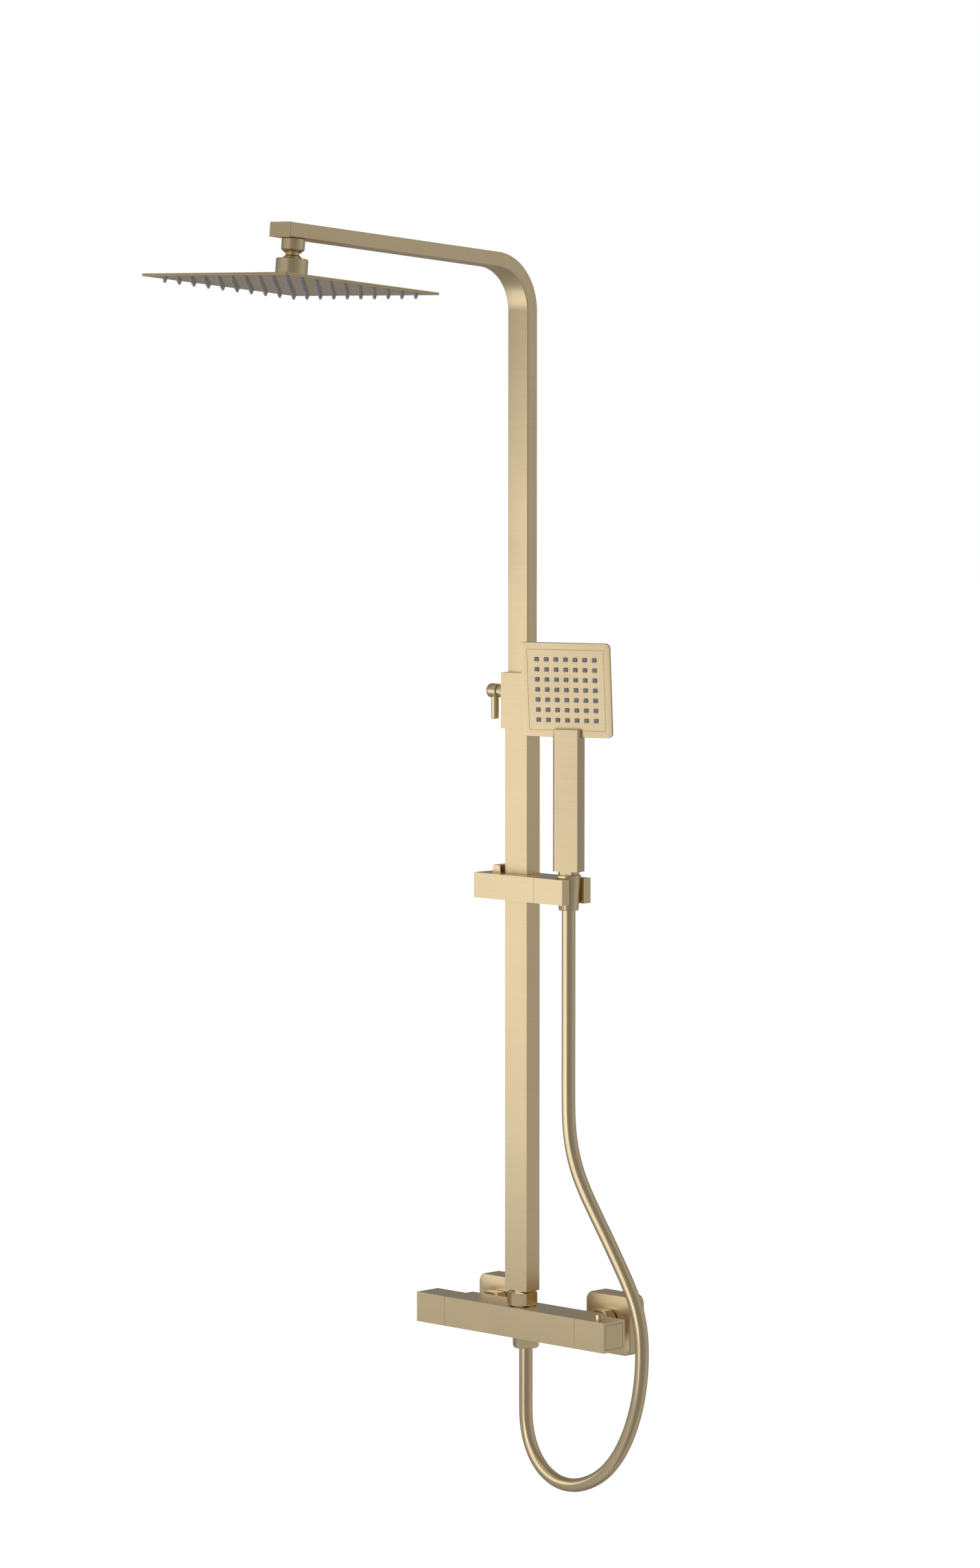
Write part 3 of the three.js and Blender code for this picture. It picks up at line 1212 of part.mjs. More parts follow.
function handsetGrip() {
  const top = GRIP_BOTTOM + GRIP_LENGTH;
  const outer = chamferedBar(GRIP_WIDTH, GRIP_DEPTH, GRIP_CHAMFER, [GRIP_BOTTOM, top]);
  const hollow = chamferedBar(
    GRIP_WIDTH - 2 * GRIP_WALL,
    GRIP_DEPTH - 2 * GRIP_WALL,
    GRIP_INNER_CHAMFER,
    [GRIP_BOTTOM + GRIP_FLOOR, top - GRIP_WALL],
  );
  const neckPiece = rod("z", NECK_RADIUS, NECK_HEIGHT + ROOT, [0, 0, RING_TOP + GAP]);
  const depth = GRIP_DEPTH / 2;
  const width = GRIP_WIDTH / 2;
  const neckTrim = block([-width, width], [-depth, depth], [RING_TOP, GRIP_BOTTOM + PAST]);
  const nipple = rod("z", NIPPLE_RADIUS, NIPPLE_LENGTH + ROOT, [0, 0, NIPPLE_BOTTOM]);
  const bore = rod("z", WATER_TUBE_BORE, THROUGH, [0, 0, NIPPLE_BOTTOM - PAST], 12);
  const socket = rod("z", WATER_TUBE_RADIUS + GAP, GRIP_FLOOR, [0, 0, GRIP_BOTTOM + WATER_TUBE_SEAT], 16);
  const foot = geometryOf(solidOf(neckPiece).intersect(solidOf(neckTrim)));
  return cut(join(cut(outer, hollow), foot, nipple), bore, socket, slabSpace());
}

function waterTube() {
  const bottom = GRIP_BOTTOM + WATER_TUBE_SEAT + GAP;
  const slabFoot = GRIP_BOTTOM + SLAB_CENTRE - (SLAB_SIDE / 2) * Math.cos(HANDSET_LEAN);
  return ring(WATER_TUBE_RADIUS, WATER_TUBE_BORE, bottom, slabFoot - WATER_TUBE_TO_SLAB, 16);
}

// The spray pieces are drawn lying down, with their face at height 0 and their back above it.
const FACE_POCKET = FACE_THICKNESS + SHEET_GAP + HAND_MAT_THICKNESS + SHEET_GAP;

function upright(geometry) {
  return geometry.rotateX(-Math.PI / 2);
}

function handsetShell() {
  const pocket = FACE_SIDE / 2 + GAP;
  const chamber = HAND_CHAMBER_SIDE / 2;
  const back = SLAB_BACK_SIDE / 2;
  const inlet = GRIP_WIDTH / 2 - GRIP_WALL - 1; // fits inside the grip
  const way = FACE_POCKET + HAND_CHAMBER_DEPTH / 2;
  const solid = join(
    extruded(roundedSquare(SLAB_SIDE, SLAB_CORNER), SLAB_RIM),
    taperedPad(back + SLAB_BACK_SLOPE, back, SLAB_RIM - ROOT, SLAB_THICKNESS),
    block([-inlet, inlet], [back - SLAB_BACK_SLOPE, SLAB_SIDE / 2], [ROOT, SLAB_THICKNESS - ROOT]),
  );
  const shell = cut(
    solid,
    block([-pocket, pocket], [-pocket, pocket], [-PAST, FACE_POCKET]),
    block([-chamber, chamber], [-chamber, chamber], [0, FACE_POCKET + HAND_CHAMBER_DEPTH]),
    rod("y", SLAB_WAY_RADIUS, THROUGH, [0, chamber - PAST, way], 8),
  );
  return upright(shell);
}

function handsetNozzleMat() {
  const half = FACE_SIDE / 2;
  const bottom = FACE_THICKNESS + SHEET_GAP;
  const mat = block([-half, half], [-half, half], [bottom, bottom + HAND_MAT_THICKNESS]);
  const nozzle = HAND_NOZZLE_SIDE / 2;
  const nozzles = eachNozzle(HAND_NOZZLES, HAND_PITCH, (x, y) =>
    block([x - nozzle, x + nozzle], [y - nozzle, y + nozzle], [-HAND_NOZZLE_RISE, bottom + ROOT]),
  );
  return upright(join(mat, ...nozzles));
}

function handsetFacePlate() {
  const half = FACE_SIDE / 2;
  const plate = block([-half, half], [-half, half], [0, FACE_THICKNESS]);
  const hole = HAND_NOZZLE_SIDE / 2 + GAP;
  const holes = eachNozzle(HAND_NOZZLES, HAND_PITCH, (x, y) =>
    block([x - hole, x + hole], [y - hole, y + hole], [-PAST, FACE_THICKNESS + PAST]),
  );
  return upright(cut(plate, ...holes));
}

add("hose_cone_nut", hoseConeNut(), SATIN_GOLD, handset);
add("handset_washer", hoseWasher(), SEAL_RUBBER, handset);
add("handset_grip", handsetGrip(), BRUSHED_GOLD, handset);
add("handset_water_tube", waterTube(), WHITE_PLASTIC, handset);
add("handset_shell", handsetShell(), BRUSHED_GOLD, spray);
add("handset_nozzle_mat", handsetNozzleMat(), NOZZLE_SILICONE, spray);
add("handset_face_plate", handsetFacePlate(), BRUSHED_GOLD, spray);

// ---------------------------------------------------------------- hose and its outlet

const OUTLET_NUT_TOP = -VALVE_TOP - GAP;
const OUTLET_NUT_BOTTOM = OUTLET_NUT_TOP - OUTLET_NUT_HEIGHT;
const OUTLET_LIP = 2;

function outletNut() {
  const nut = hexagon("z", OUTLET_NUT_FLATS, OUTLET_NUT_HEIGHT, [0, 0, OUTLET_NUT_BOTTOM]);
  return cut(
    nut,
    rod("z", OUTLET_NIPPLE_RADIUS + GAP, OUTLET_NUT_HEIGHT, [0, 0, OUTLET_NUT_BOTTOM + OUTLET_LIP]),
    rod("z", OUTLET_BORE, OUTLET_NUT_HEIGHT, [0, 0, OUTLET_NUT_BOTTOM - PAST]),
  );
}

function outletWasher() {
  const top = -VALVE_TOP - OUTLET_NIPPLE_LENGTH - GAP;
  return ring(OUTLET_NIPPLE_RADIUS, OUTLET_BORE, top - WASHER, top, 16);
}

function showerHose() {
  const section = new THREE.Shape();
  for (let i = 0; i < HOSE_SIDES; i++) {
    const angle = (2 * Math.PI * i) / HOSE_SIDES;
    const x = (HOSE_DIAMETER / 2) * Math.cos(angle);
    const y = (HOSE_DIAMETER / 2) * Math.sin(angle);
    if (i === 0) section.moveTo(x, y);
    else section.lineTo(x, y);
  }
  const route = HOSE_ROUTE.map(([x, y, z]) => new THREE.Vector3(x, y, z));
  const extrudePath = new THREE.CatmullRomCurve3(route);
  return new THREE.ExtrudeGeometry(section, { steps: HOSE_STEPS, extrudePath });
}

const outlet = new THREE.Group();
outlet.position.y = -OUTLET_TO_WALL;
column.add(outlet);
add("outlet_nut", outletNut(), SATIN_GOLD, outlet);
add("outlet_washer", outletWasher(), SEAL_RUBBER, outlet);
add("shower_hose", showerHose(), SATIN_GOLD);

export default column;
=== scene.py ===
"""Visual model of a rainfall shower column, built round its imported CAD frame.

The frame is in metres, with +X to the right, +Y into the wall and +Z up. The sizes of pieces are given here
in millimetres. The camera, the lights, the floor and the hose are in metres.
"""

import json
import math

import bmesh
import bpy
from mathutils import Matrix, Vector


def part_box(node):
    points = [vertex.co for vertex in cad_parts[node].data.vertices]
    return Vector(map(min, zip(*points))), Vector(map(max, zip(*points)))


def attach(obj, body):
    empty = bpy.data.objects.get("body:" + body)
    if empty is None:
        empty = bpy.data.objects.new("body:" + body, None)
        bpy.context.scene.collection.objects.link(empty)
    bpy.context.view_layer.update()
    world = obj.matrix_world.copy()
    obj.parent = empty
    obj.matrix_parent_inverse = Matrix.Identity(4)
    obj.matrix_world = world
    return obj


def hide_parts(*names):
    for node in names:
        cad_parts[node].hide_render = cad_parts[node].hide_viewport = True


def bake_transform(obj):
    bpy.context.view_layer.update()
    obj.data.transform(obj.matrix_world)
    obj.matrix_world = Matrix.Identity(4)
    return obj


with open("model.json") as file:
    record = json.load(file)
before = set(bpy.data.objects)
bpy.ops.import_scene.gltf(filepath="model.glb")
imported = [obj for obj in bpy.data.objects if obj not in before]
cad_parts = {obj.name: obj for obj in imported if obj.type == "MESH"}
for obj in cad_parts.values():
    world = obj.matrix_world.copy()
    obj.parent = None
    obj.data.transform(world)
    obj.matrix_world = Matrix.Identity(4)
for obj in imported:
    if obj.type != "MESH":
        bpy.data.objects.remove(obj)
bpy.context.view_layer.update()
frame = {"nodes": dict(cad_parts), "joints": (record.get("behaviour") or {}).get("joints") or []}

MM = 0.001
SCENE = bpy.context.scene
SCENE.view_settings.view_transform = "Standard"


# ---------------------------------------------------------------- camera, light and backdrop

CAMERA_PLACE = (3.8391, -3.9990, 0.9806)
CAMERA_AZIMUTH = math.radians(44.637)
CAMERA_PITCH = math.radians(4.626)
CAMERA_LENS = 128.0
FLOOR_DROP = 0.62  # below the inlets' axis
FLOOR_GLOW = 0.8
BACKDROP_RADIUS = 30
# How brightly the room glows in each direction round the object, in degrees from +X towards +Y.
ROOM = [
    (-180, 0.26),
    (-135, 0.42),
    (-90, 0.5),
    (-60, 0.27),
    (-30, 0.24),
    (10, 0.33),
    (45, 0.48),
    (80, 0.33),
    (135, 0.24),
    (180, 0.26),
]


def make_camera():
    data = bpy.data.cameras.new("camera")
    data.lens = CAMERA_LENS
    data.sensor_width = 36
    data.clip_end = 60
    camera = bpy.data.objects.new("camera", data)
    camera.location = CAMERA_PLACE
    camera.rotation_euler = (math.pi / 2 - CAMERA_PITCH, 0, CAMERA_AZIMUTH)
    SCENE.collection.objects.link(camera)
    SCENE.camera = camera


def make_area_light(name, place, target, size, power):
    data = bpy.data.lights.new(name, "AREA")
    data.shape = "RECTANGLE"
    data.size, data.size_y = size
    data.energy = power
    light = bpy.data.objects.new(name, data)
    light.location = place
    light.rotation_euler = (Vector(target) - Vector(place)).to_track_quat("-Z", "Y").to_euler()
    SCENE.collection.objects.link(light)


def make_world():
    """The dim room round the studio lights."""
    world = bpy.data.worlds.new("studio")
    world.use_nodes = True
    nodes, links = world.node_tree.nodes, world.node_tree.links
    background = nodes["Background"]
    where = nodes.new("ShaderNodeTexCoord")
    turn = nodes.new("ShaderNodeTexGradient")
    turn.gradient_type = "RADIAL"
    ramp = nodes.new("ShaderNodeValToRGB")
    stops = ramp.color_ramp.elements
    while len(stops) < len(ROOM):
        stops.new(0.5)
    for stop, (degrees, glow) in zip(stops, ROOM):
        stop.position = 0.5 + degrees / 360
        stop.color = (glow, glow, glow, 1)
    links.new(where.outputs["Generated"], turn.inputs["Vector"])
    links.new(turn.outputs["Fac"], ramp.inputs["Fac"])
    links.new(ramp.outputs["Color"], background.inputs["Color"])
    SCENE.world = world


def glowing(name, colour, glow):
    material = bpy.data.materials.new(name)
    material.use_nodes = True
    shader = material.node_tree.nodes["Principled BSDF"]
    shader.inputs["Base Color"].default_value = (*colour, 1)
    shader.inputs["Roughness"].default_value = 0.9
    shader.inputs["Specular IOR Level"].default_value = 0
    shader.inputs["Emission Color"].default_value = (1, 1, 1, 1)
    shader.inputs["Emission Strength"].default_value = glow
    return material


def seen_only(obj):
    """The camera sees it, but it lights nothing and isn't reflected."""
    obj.visible_diffuse = False
    obj.visible_glossy = False
    obj.visible_transmission = False
    obj.visible_shadow = False


def make_floor():
    bm = bmesh.new()
    bmesh.ops.create_circle(bm, cap_ends=True, segments=64, radius=BACKDROP_RADIUS)
    floor = object_from("floor", bm)
    floor.location.z = -FLOOR_DROP
    floor.data.materials.append(glowing("floor", (0.9, 0.9, 0.9), FLOOR_GLOW))
    seen_only(floor)
    bm = bmesh.new()
    bmesh.ops.create_uvsphere(bm, u_segments=64, v_segments=32, radius=BACKDROP_RADIUS)
    backdrop = object_from("backdrop", bm)
    backdrop.data.materials.append(glowing("backdrop", (0, 0, 0), 1.0))
    seen_only(backdrop)


# ---------------------------------------------------------------- materials


GOLD = (0.8, 0.645, 0.4)
# The part of a noise's range over which a colour or a value changes.
NOISE_LOW = 0.3
NOISE_HIGH = 0.7


def new_material(name, roughness, metallic):
    material = bpy.data.materials.new(name)
    material.use_nodes = True
    shader = material.node_tree.nodes["Principled BSDF"]
    shader.inputs["Roughness"].default_value = roughness
    shader.inputs["Metallic"].default_value = metallic
    return material, shader


def add_noise(material, scale, detail, stretch=(1, 1, 1)):
    """A noise in the piece's own coordinates, drawn out along the axes where stretch is small."""
    nodes, links = material.node_tree.nodes, material.node_tree.links
    where = nodes.new("ShaderNodeTexCoord")
    mapping = nodes.new("ShaderNodeMapping")
    mapping.inputs["Scale"].default_value = stretch
    noise = nodes.new("ShaderNodeTexNoise")
    noise.inputs["Scale"].default_value = scale
    noise.inputs["Detail"].default_value = detail
    links.new(where.outputs["Object"], mapping.inputs["Vector"])
    links.new(mapping.outputs["Vector"], noise.inputs["Vector"])
    return noise.outputs["Fac"]


def colour_between(material, factor, dark, light, socket):
    nodes, links = material.node_tree.nodes, material.node_tree.links
    ramp = nodes.new("ShaderNodeValToRGB")
    first, last = ramp.color_ramp.elements
    first.position, last.position = NOISE_LOW, NOISE_HIGH
    first.color = (*dark, 1)
    last.color = (*light, 1)
    links.new(factor, ramp.inputs["Fac"])
    links.new(ramp.outputs["Color"], socket)


def value_between(material, factor, low, high, socket):
    nodes, links = material.node_tree.nodes, material.node_tree.links
    spread = nodes.new("ShaderNodeMapRange")
    spread.inputs["From Min"].default_value = NOISE_LOW
    spread.inputs["From Max"].default_value = NOISE_HIGH
    spread.inputs["To Min"].default_value = low
    spread.inputs["To Max"].default_value = high
    links.new(factor, spread.inputs["Value"])
    links.new(spread.outputs["Result"], socket)


def add_bump(material, factor, strength, distance, shader):
    nodes, links = material.node_tree.nodes, material.node_tree.links
    bump = nodes.new("ShaderNodeBump")
    bump.inputs["Strength"].default_value = strength
    bump.inputs["Distance"].default_value = distance
    links.new(factor, bump.inputs["Height"])
    links.new(bump.outputs["Normal"], shader.inputs["Normal"])


def brushed_gold(name, stretch, colour=GOLD):
    """Champagne gold with a fine grain that runs along the axes where stretch is small."""
    material, shader = new_material(name, 0.34, 1.0)
    grain = add_noise(material, 1, 2.5, stretch)
    clouds = add_noise(material, 14, 2)
    dark = tuple(channel * 0.96 for channel in colour)
    light = tuple(min(1, channel * 1.03) for channel in colour)
    colour_between(material, grain, dark, light, shader.inputs["Base Color"])
    value_between(material, clouds, 0.31, 0.37, shader.inputs["Roughness"])
    add_bump(material, grain, 0.07, 0.0001, shader)
    return material


def satin_gold(name, roughness):
    """The smoother plating of the round fittings and the hose, with a faint unevenness."""
    material, shader = new_material(name, roughness, 1.0)
    clouds = add_noise(material, 60, 3)
    grain = add_noise(material, 900, 2)
    dark = tuple(channel * 0.98 for channel in GOLD)
    colour_between(material, clouds, dark, GOLD, shader.inputs["Base Color"])
    value_between(material, clouds, roughness * 0.92, roughness * 1.1, shader.inputs["Roughness"])
    add_bump(material, grain, 0.015, 0.00005, shader)
    return material


def moulded(name, colour, roughness):
    """Moulded plastic, rubber or silicone with a faint orange-peel skin."""
    material, shader = new_material(name, roughness, 0.0)
    clouds = add_noise(material, 120, 3)
    skin = add_noise(material, 1800, 2)
    dark = tuple(channel * 0.85 for channel in colour)
    colour_between(material, clouds, dark, colour, shader.inputs["Base Color"])
    add_bump(material, skin, 0.12, 0.0001, shader)
    return material


def machined(name, colour, roughness):
    """Bare metal with fine turning marks."""
    material, shader = new_material(name, roughness, 1.0)
    marks = add_noise(material, 1, 2, (500, 2600, 500))
    dark = tuple(channel * 0.85 for channel in colour)
    colour_between(material, marks, dark, colour, shader.inputs["Base Color"])
    add_bump(material, marks, 0.1, 0.0001, shader)
    return material


# The grain lies level across the upright pieces, and along X on the valve, the slider and the rain head.
FINE = 2600
LONG = 22
LEVEL_GRAIN = brushed_gold("brushed_gold_level", (LONG, LONG, FINE))
VALVE_GRAIN = brushed_gold("brushed_gold_valve", (LONG, FINE, FINE))
PLATE_GRAIN = brushed_gold("brushed_gold_plate", (LONG, FINE, FINE), (0.78, 0.63, 0.4))
SATIN = satin_gold("satin_gold", 0.2)
BRASS = machined("raw_brass", (0.6, 0.45, 0.2), 0.35)
STEEL = machined("plain_steel", (0.55, 0.56, 0.57), 0.3)
SILICONE = moulded("nozzle_silicone", (0.46, 0.46, 0.49), 0.55)
RUBBER = moulded("seal_rubber", (0.02, 0.02, 0.022), 0.6)
PLASTIC = moulded("white_plastic", (0.74, 0.72, 0.68), 0.4)


# ---------------------------------------------------------------- mesh tools


def dress(obj, material, slot, body, *nodes):
    """Gives a finished piece its material and its body, and hides the CAD nodes that it stands for."""
    obj.data.materials.clear()
    obj.data.materials.append(material)
    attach(obj, body)
    if nodes:
        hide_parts(*nodes)


def smooth_but_edges(mesh, sharp):
    mesh.polygons.foreach_set("use_smooth", [True] * len(mesh.polygons))
    mesh.set_sharp_from_angle(angle=math.radians(sharp))


def object_from(name, bm, sharp=30):
    """The bmesh as an object, smooth but for edges over the sharp angle."""
    bmesh.ops.remove_doubles(bm, verts=bm.verts, dist=1e-7)
    bmesh.ops.recalc_face_normals(bm, faces=bm.faces)
    mesh = bpy.data.meshes.new(name)
    bm.to_mesh(mesh)
    bm.free()
    smooth_but_edges(mesh, sharp)
    obj = bpy.data.objects.new(name, mesh)
    SCENE.collection.objects.link(obj)
    return obj


def loft(name, rings, closed_ends=True, cyclic=False, sharp=30):
    """A skin through rings of equal counts of points."""
    bm = bmesh.new()
    made = [[bm.verts.new(point) for point in ring] for ring in rings]
    pairs = list(zip(made, made[1:]))
    if cyclic:
        pairs.append((made[-1], made[0]))
    for lower, upper in pairs:
        count = len(lower)
        for i in range(count):
            j = (i + 1) % count
            bm.faces.new((lower[i], lower[j], upper[j], upper[i]))
    if closed_ends and not cyclic:
        bm.faces.new(reversed(made[0]))
        bm.faces.new(made[-1])
    return object_from(name, bm, sharp)


def frame_at(place, axis, side=(1, 0, 0)):
    """A matrix whose Z runs along axis, and whose X is as near side as it can be."""
    z = Vector(axis).normalized()
    guess = Vector(side)
    x = (guess - z * guess.dot(z)).normalized()
    y = z.cross(x)
    matrix = Matrix((x, y, z)).transposed().to_4x4()
    matrix.translation = Vector(place)
    return matrix


def turned(name, profile, matrix, sides=48):
    """A solid or a ring turned from a closed profile of [radius, height] in millimetres."""
    rings = []
    for radius, height in profile:
        ring = []
        for i in range(sides):
            angle = 2 * math.pi * i / sides
            point = (radius * math.cos(angle) * MM, radius * math.sin(angle) * MM, height * MM)
            ring.append(matrix @ Vector(point))
        rings.append(ring)
    on_axis = profile[0][0] == 0 and profile[-1][0] == 0
    return loft(name, rings, closed_ends=False, cyclic=not on_axis, sharp=25)


def rounded_outline(width, depth, corner, steps=8):
    """The corners of a rectangle, rounded, as points anticlockwise round its centre."""
    points = []
    middles = [(1, 1, 0), (-1, 1, 90), (-1, -1, 180), (1, -1, 270)]
    for sx, sy, start in middles:
        for i in range(steps + 1):
            angle = math.radians(start + 90 * i / steps)
            x = sx * (width / 2 - corner) + corner * math.cos(angle)
            y = sy * (depth / 2 - corner) + corner * math.sin(angle)
            points.append((x, y))
    return points


def slab(name, sections, matrix, cyclic=False, sharp=30, steps=8):
    """A skin through rounded rectangles: each section is (width, depth, corner, height) in millimetres."""
    rings = []
    for width, depth, corner, height in sections:
        outline = rounded_outline(width, depth, corner, steps)
        rings.append([matrix @ Vector((x * MM, y * MM, height * MM)) for x, y in outline])
    return loft(name, rings, cyclic=cyclic, sharp=sharp)


def soften(obj, width):
    """Rounds a piece's edges, so that they catch the light as plated edges do."""
    flat = obj.modifiers.new("merge flat faces", "DECIMATE")
    flat.decimate_type = "DISSOLVE"
    flat.angle_limit = math.radians(1)
    bevel = obj.modifiers.new("edges", "BEVEL")
    bevel.width = width * MM
    bevel.segments = 3
    bevel.limit_method = "ANGLE"
    bevel.angle_limit = math.radians(35)
    bevel.use_clamp_overlap = True
    bevel.harden_normals = True


def keep_flat(obj):
    """The large faces stay flat up to the rounded edges between them."""
    flat = obj.modifiers.new("flat faces", "WEIGHTED_NORMAL")
    flat.keep_sharp = True


def applied(obj):
    """Replaces a piece's mesh with what its modifiers make of it."""
    graph = bpy.context.evaluated_depsgraph_get()
    mesh = bpy.data.meshes.new_from_object(obj.evaluated_get(graph))
    obj.modifiers.clear()
    obj.data = mesh


def cut_away(obj, cutter):
    """Cuts one piece by another, which is used up."""
    knife = obj.modifiers.new("cut", "BOOLEAN")
    knife.operation = "DIFFERENCE"
    knife.solver = "EXACT"
    knife.object = cutter
    applied(obj)
    bpy.data.objects.remove(cutter)
    smooth_but_edges(obj.data, 30)


def joined(name, objects):
    """Several pieces of one moulding as one mesh."""
    bm = bmesh.new()
    for obj in objects:
        bm.from_mesh(obj.data)
        bpy.data.objects.remove(obj)
    mesh = bpy.data.meshes.new(name)
    bm.to_mesh(mesh)
    bm.free()
    smooth_but_edges(mesh, 30)
    obj = bpy.data.objects.new(name, mesh)
    SCENE.collection.objects.link(obj)
    return obj


def middle(node):
    low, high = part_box(node)
    return (Vector(low) + Vector(high)) / 2


# ---------------------------------------------------------------- hose

HOSE_DIAMETER = 0.0135
# The hose's centre line from the outlet, round the loop and up to the cone.
HOSE_ROUTE = [
    (0, -0.06, -0.0283),
    (0, -0.06, -0.046),
    (0, -0.06, -0.066),
    (0, -0.06, -0.086),
    (0.0012, -0.0603, -0.104),
    (0.0064, -0.061, -0.1215),
    (0.016, -0.0622, -0.1365),
    (0.0295, -0.0636, -0.148),
    (0.046, -0.065, -0.155),
    (0.0635, -0.0663, -0.157),
    (0.082, -0.0676, -0.1543),
    (0.101, -0.0688, -0.147),
    (0.1185, -0.0699, -0.136),
    (0.1335, -0.0708, -0.1215),
    (0.146, -0.0714, -0.104),
    (0.156, -0.0718, -0.084),
    (0.1635, -0.072, -0.062),
    (0.168, -0.072, -0.039),
    (0.1697, -0.072, -0.015),
    (0.1683, -0.072, 0.009),
    (0.1622, -0.072, 0.032),
    (0.1515, -0.072, 0.053),
    (0.138, -0.072, 0.074),
    (0.123, -0.072, 0.096),
    (0.1075, -0.072, 0.118),
    (0.093, -0.072, 0.1395),
    (0.0813, -0.072, 0.1615),
    (0.0738, -0.072, 0.185),
    (0.0706, -0.07205, 0.21),
    (0.07, -0.07205, 0.24),
    (0.07, -0.07205, 0.28),
    (0.07, -0.07205, 0.32),
    (0.07, -0.07205, 0.36),
    (0.07, -0.07205, 0.4),
    (0.07, -0.07205, 0.4405),
]


def smooth_route(points, steps):
    """Points on one smooth curve through the route's points."""
    route = [Vector(point) for point in points]
    ends = [2 * route[0] - route[1], *route, 2 * route[-1] - route[-2]]
    smooth = []
    for a, b, c, d in zip(ends, ends[1:], ends[2:], ends[3:]):
        for i in range(steps):
            t = i / steps
            bend = 2 * a - 5 * b + 4 * c - d
            twist = 3 * b - a - 3 * c + d
            smooth.append((2 * b + (c - a) * t + bend * t * t + twist * t**3) / 2)
    smooth.append(route[-1])
    return smooth


def make_hose():
    """A round skin along the route, with rings that turn as little as they can."""
    line = smooth_route(HOSE_ROUTE, 5)
    sides = 28
    rings = []
    side = Vector((0, 1, 0))
    for i, point in enumerate(line):
        ahead = (line[min(i + 1, len(line) - 1)] - line[max(i - 1, 0)]).normalized()
        side = (side - ahead * side.dot(ahead)).normalized()
        across = ahead.cross(side)
        ring = []
        for k in range(sides):
            angle = 2 * math.pi * k / sides
            out = side * math.cos(angle) + across * math.sin(angle)
            ring.append(point + out * (HOSE_DIAMETER / 2))
        rings.append(ring)
    hose = loft("hose", rings, sharp=60)
    hose.data.materials.append(SATIN)
    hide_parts("shower_hose")
    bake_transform(hose)


# ---------------------------------------------------------------- valve and wall fittings

ROOT = "valve_and_lower_tube"


def make_flanges():
    """Square cover plates with rounded corners, hollow at the back."""
    for side in ("hot", "cold"):
        low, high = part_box(side + "_wall_flange")
        width = (high[0] - low[0]) / MM
        depth = (high[1] - low[1]) / MM
        wall = 2.0
        hole = 10.8  # its radius
        matrix = frame_at(((low[0] + high[0]) / 2, high[1], 0), (0, -1, 0))
        sections = [
            (width - 2 * wall, width - 2 * wall, 7, 0),
            (width, width, 9, 0),
            (width, width, 9, depth - 1.8),
            (width - 0.6, width - 0.6, 8.9, depth - 0.8),
            (width - 1.9, width - 1.9, 8.5, depth - 0.2),
            (width - 3.6, width - 3.6, 8, depth),
            (2 * hole, 2 * hole, hole - 0.01, depth),
            (2 * hole, 2 * hole, hole - 0.01, depth - wall),
            (width - 2 * wall, width - 2 * wall, 7, depth - wall),
        ]
        flange = slab(side + "_flange", sections, matrix, cyclic=True, sharp=35, steps=12)
        dress(flange, LEVEL_GRAIN, "brushed_gold", ROOT, side + "_wall_flange")


def hex_nut(name, flats, bottom, top, bore, matrix, chamfer):
    """A hexagonal nut whose corners are turned off at both ends."""
    corner = flats / math.sqrt(3)
    bm = bmesh.new()
    rings = []
    for height in (bottom, top):
        ring = []
        for i in range(6):
            angle = math.radians(60 * i + 30)
            point = Vector((corner * math.cos(angle), corner * math.sin(angle), height)) * MM
            ring.append(bm.verts.new(matrix @ point))
        rings.append(ring)
    for i in range(6):
        j = (i + 1) % 6
        bm.faces.new((rings[0][i], rings[0][j], rings[1][j], rings[1][i]))
    bm.faces.new(rings[0][::-1])
    bm.faces.new(rings[1])
    nut = object_from(name, bm)
    rim = flats / 2
    far = corner + 3
    rise = chamfer * (far - rim) / (corner - rim)
    outside = [
        (rim, bottom - 0.01),
        (rim, bottom),
        (far, bottom + rise),
        (far, top - rise),
        (rim, top),
        (rim, top + 0.01),
        (far + 5, top + 0.01),
        (far + 5, bottom - 0.01),
    ]
    cut_away(nut, turned("nut_chamfer", outside, matrix, 72))
    hole = [(0, bottom - 1), (bore, bottom - 1), (bore, top + 1), (0, top + 1)]
    cut_away(nut, turned("nut_bore", hole, matrix, 48))
    return nut


RISER_NUT = {"flats": 27, "bottom": 15.3, "top": 29.5, "bore": 9.1, "chamfer": 1.3}
OUTLET_NUT = {"flats": 23.4, "bottom": -28.0, "top": -15.3, "bore": 7.0, "chamfer": 1.6}
UNION_NUT = {"flats": 30, "bottom": 0, "bore": 9.3, "chamfer": 1.4}


def make_nuts():
    """The riser's and the outlet's nuts stand upright, and the two union nuts lie along Y."""
    for name, node, sizes in (
        ("riser_hex_nut", "riser_nut", RISER_NUT),
        ("outlet_hex_nut", "outlet_nut", OUTLET_NUT),
    ):
        upright = frame_at((0, middle(node).y, 0), (0, 0, 1))
        nut = hex_nut(name, matrix=upright, **sizes)
        dress(nut, SATIN, "satin_gold", ROOT, node)
    for side in ("hot", "cold"):
        low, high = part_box(side + "_union_nut")
        lying = frame_at(((low[0] + high[0]) / 2, low[1], 0), (0, 1, 0), (0, 0, 1))
        length = (high[1] - low[1]) / MM
        nut = hex_nut(side + "_union_hex_nut", matrix=lying, top=length, **UNION_NUT)
        dress(nut, SATIN, "satin_gold", ROOT, side + "_union_nut")


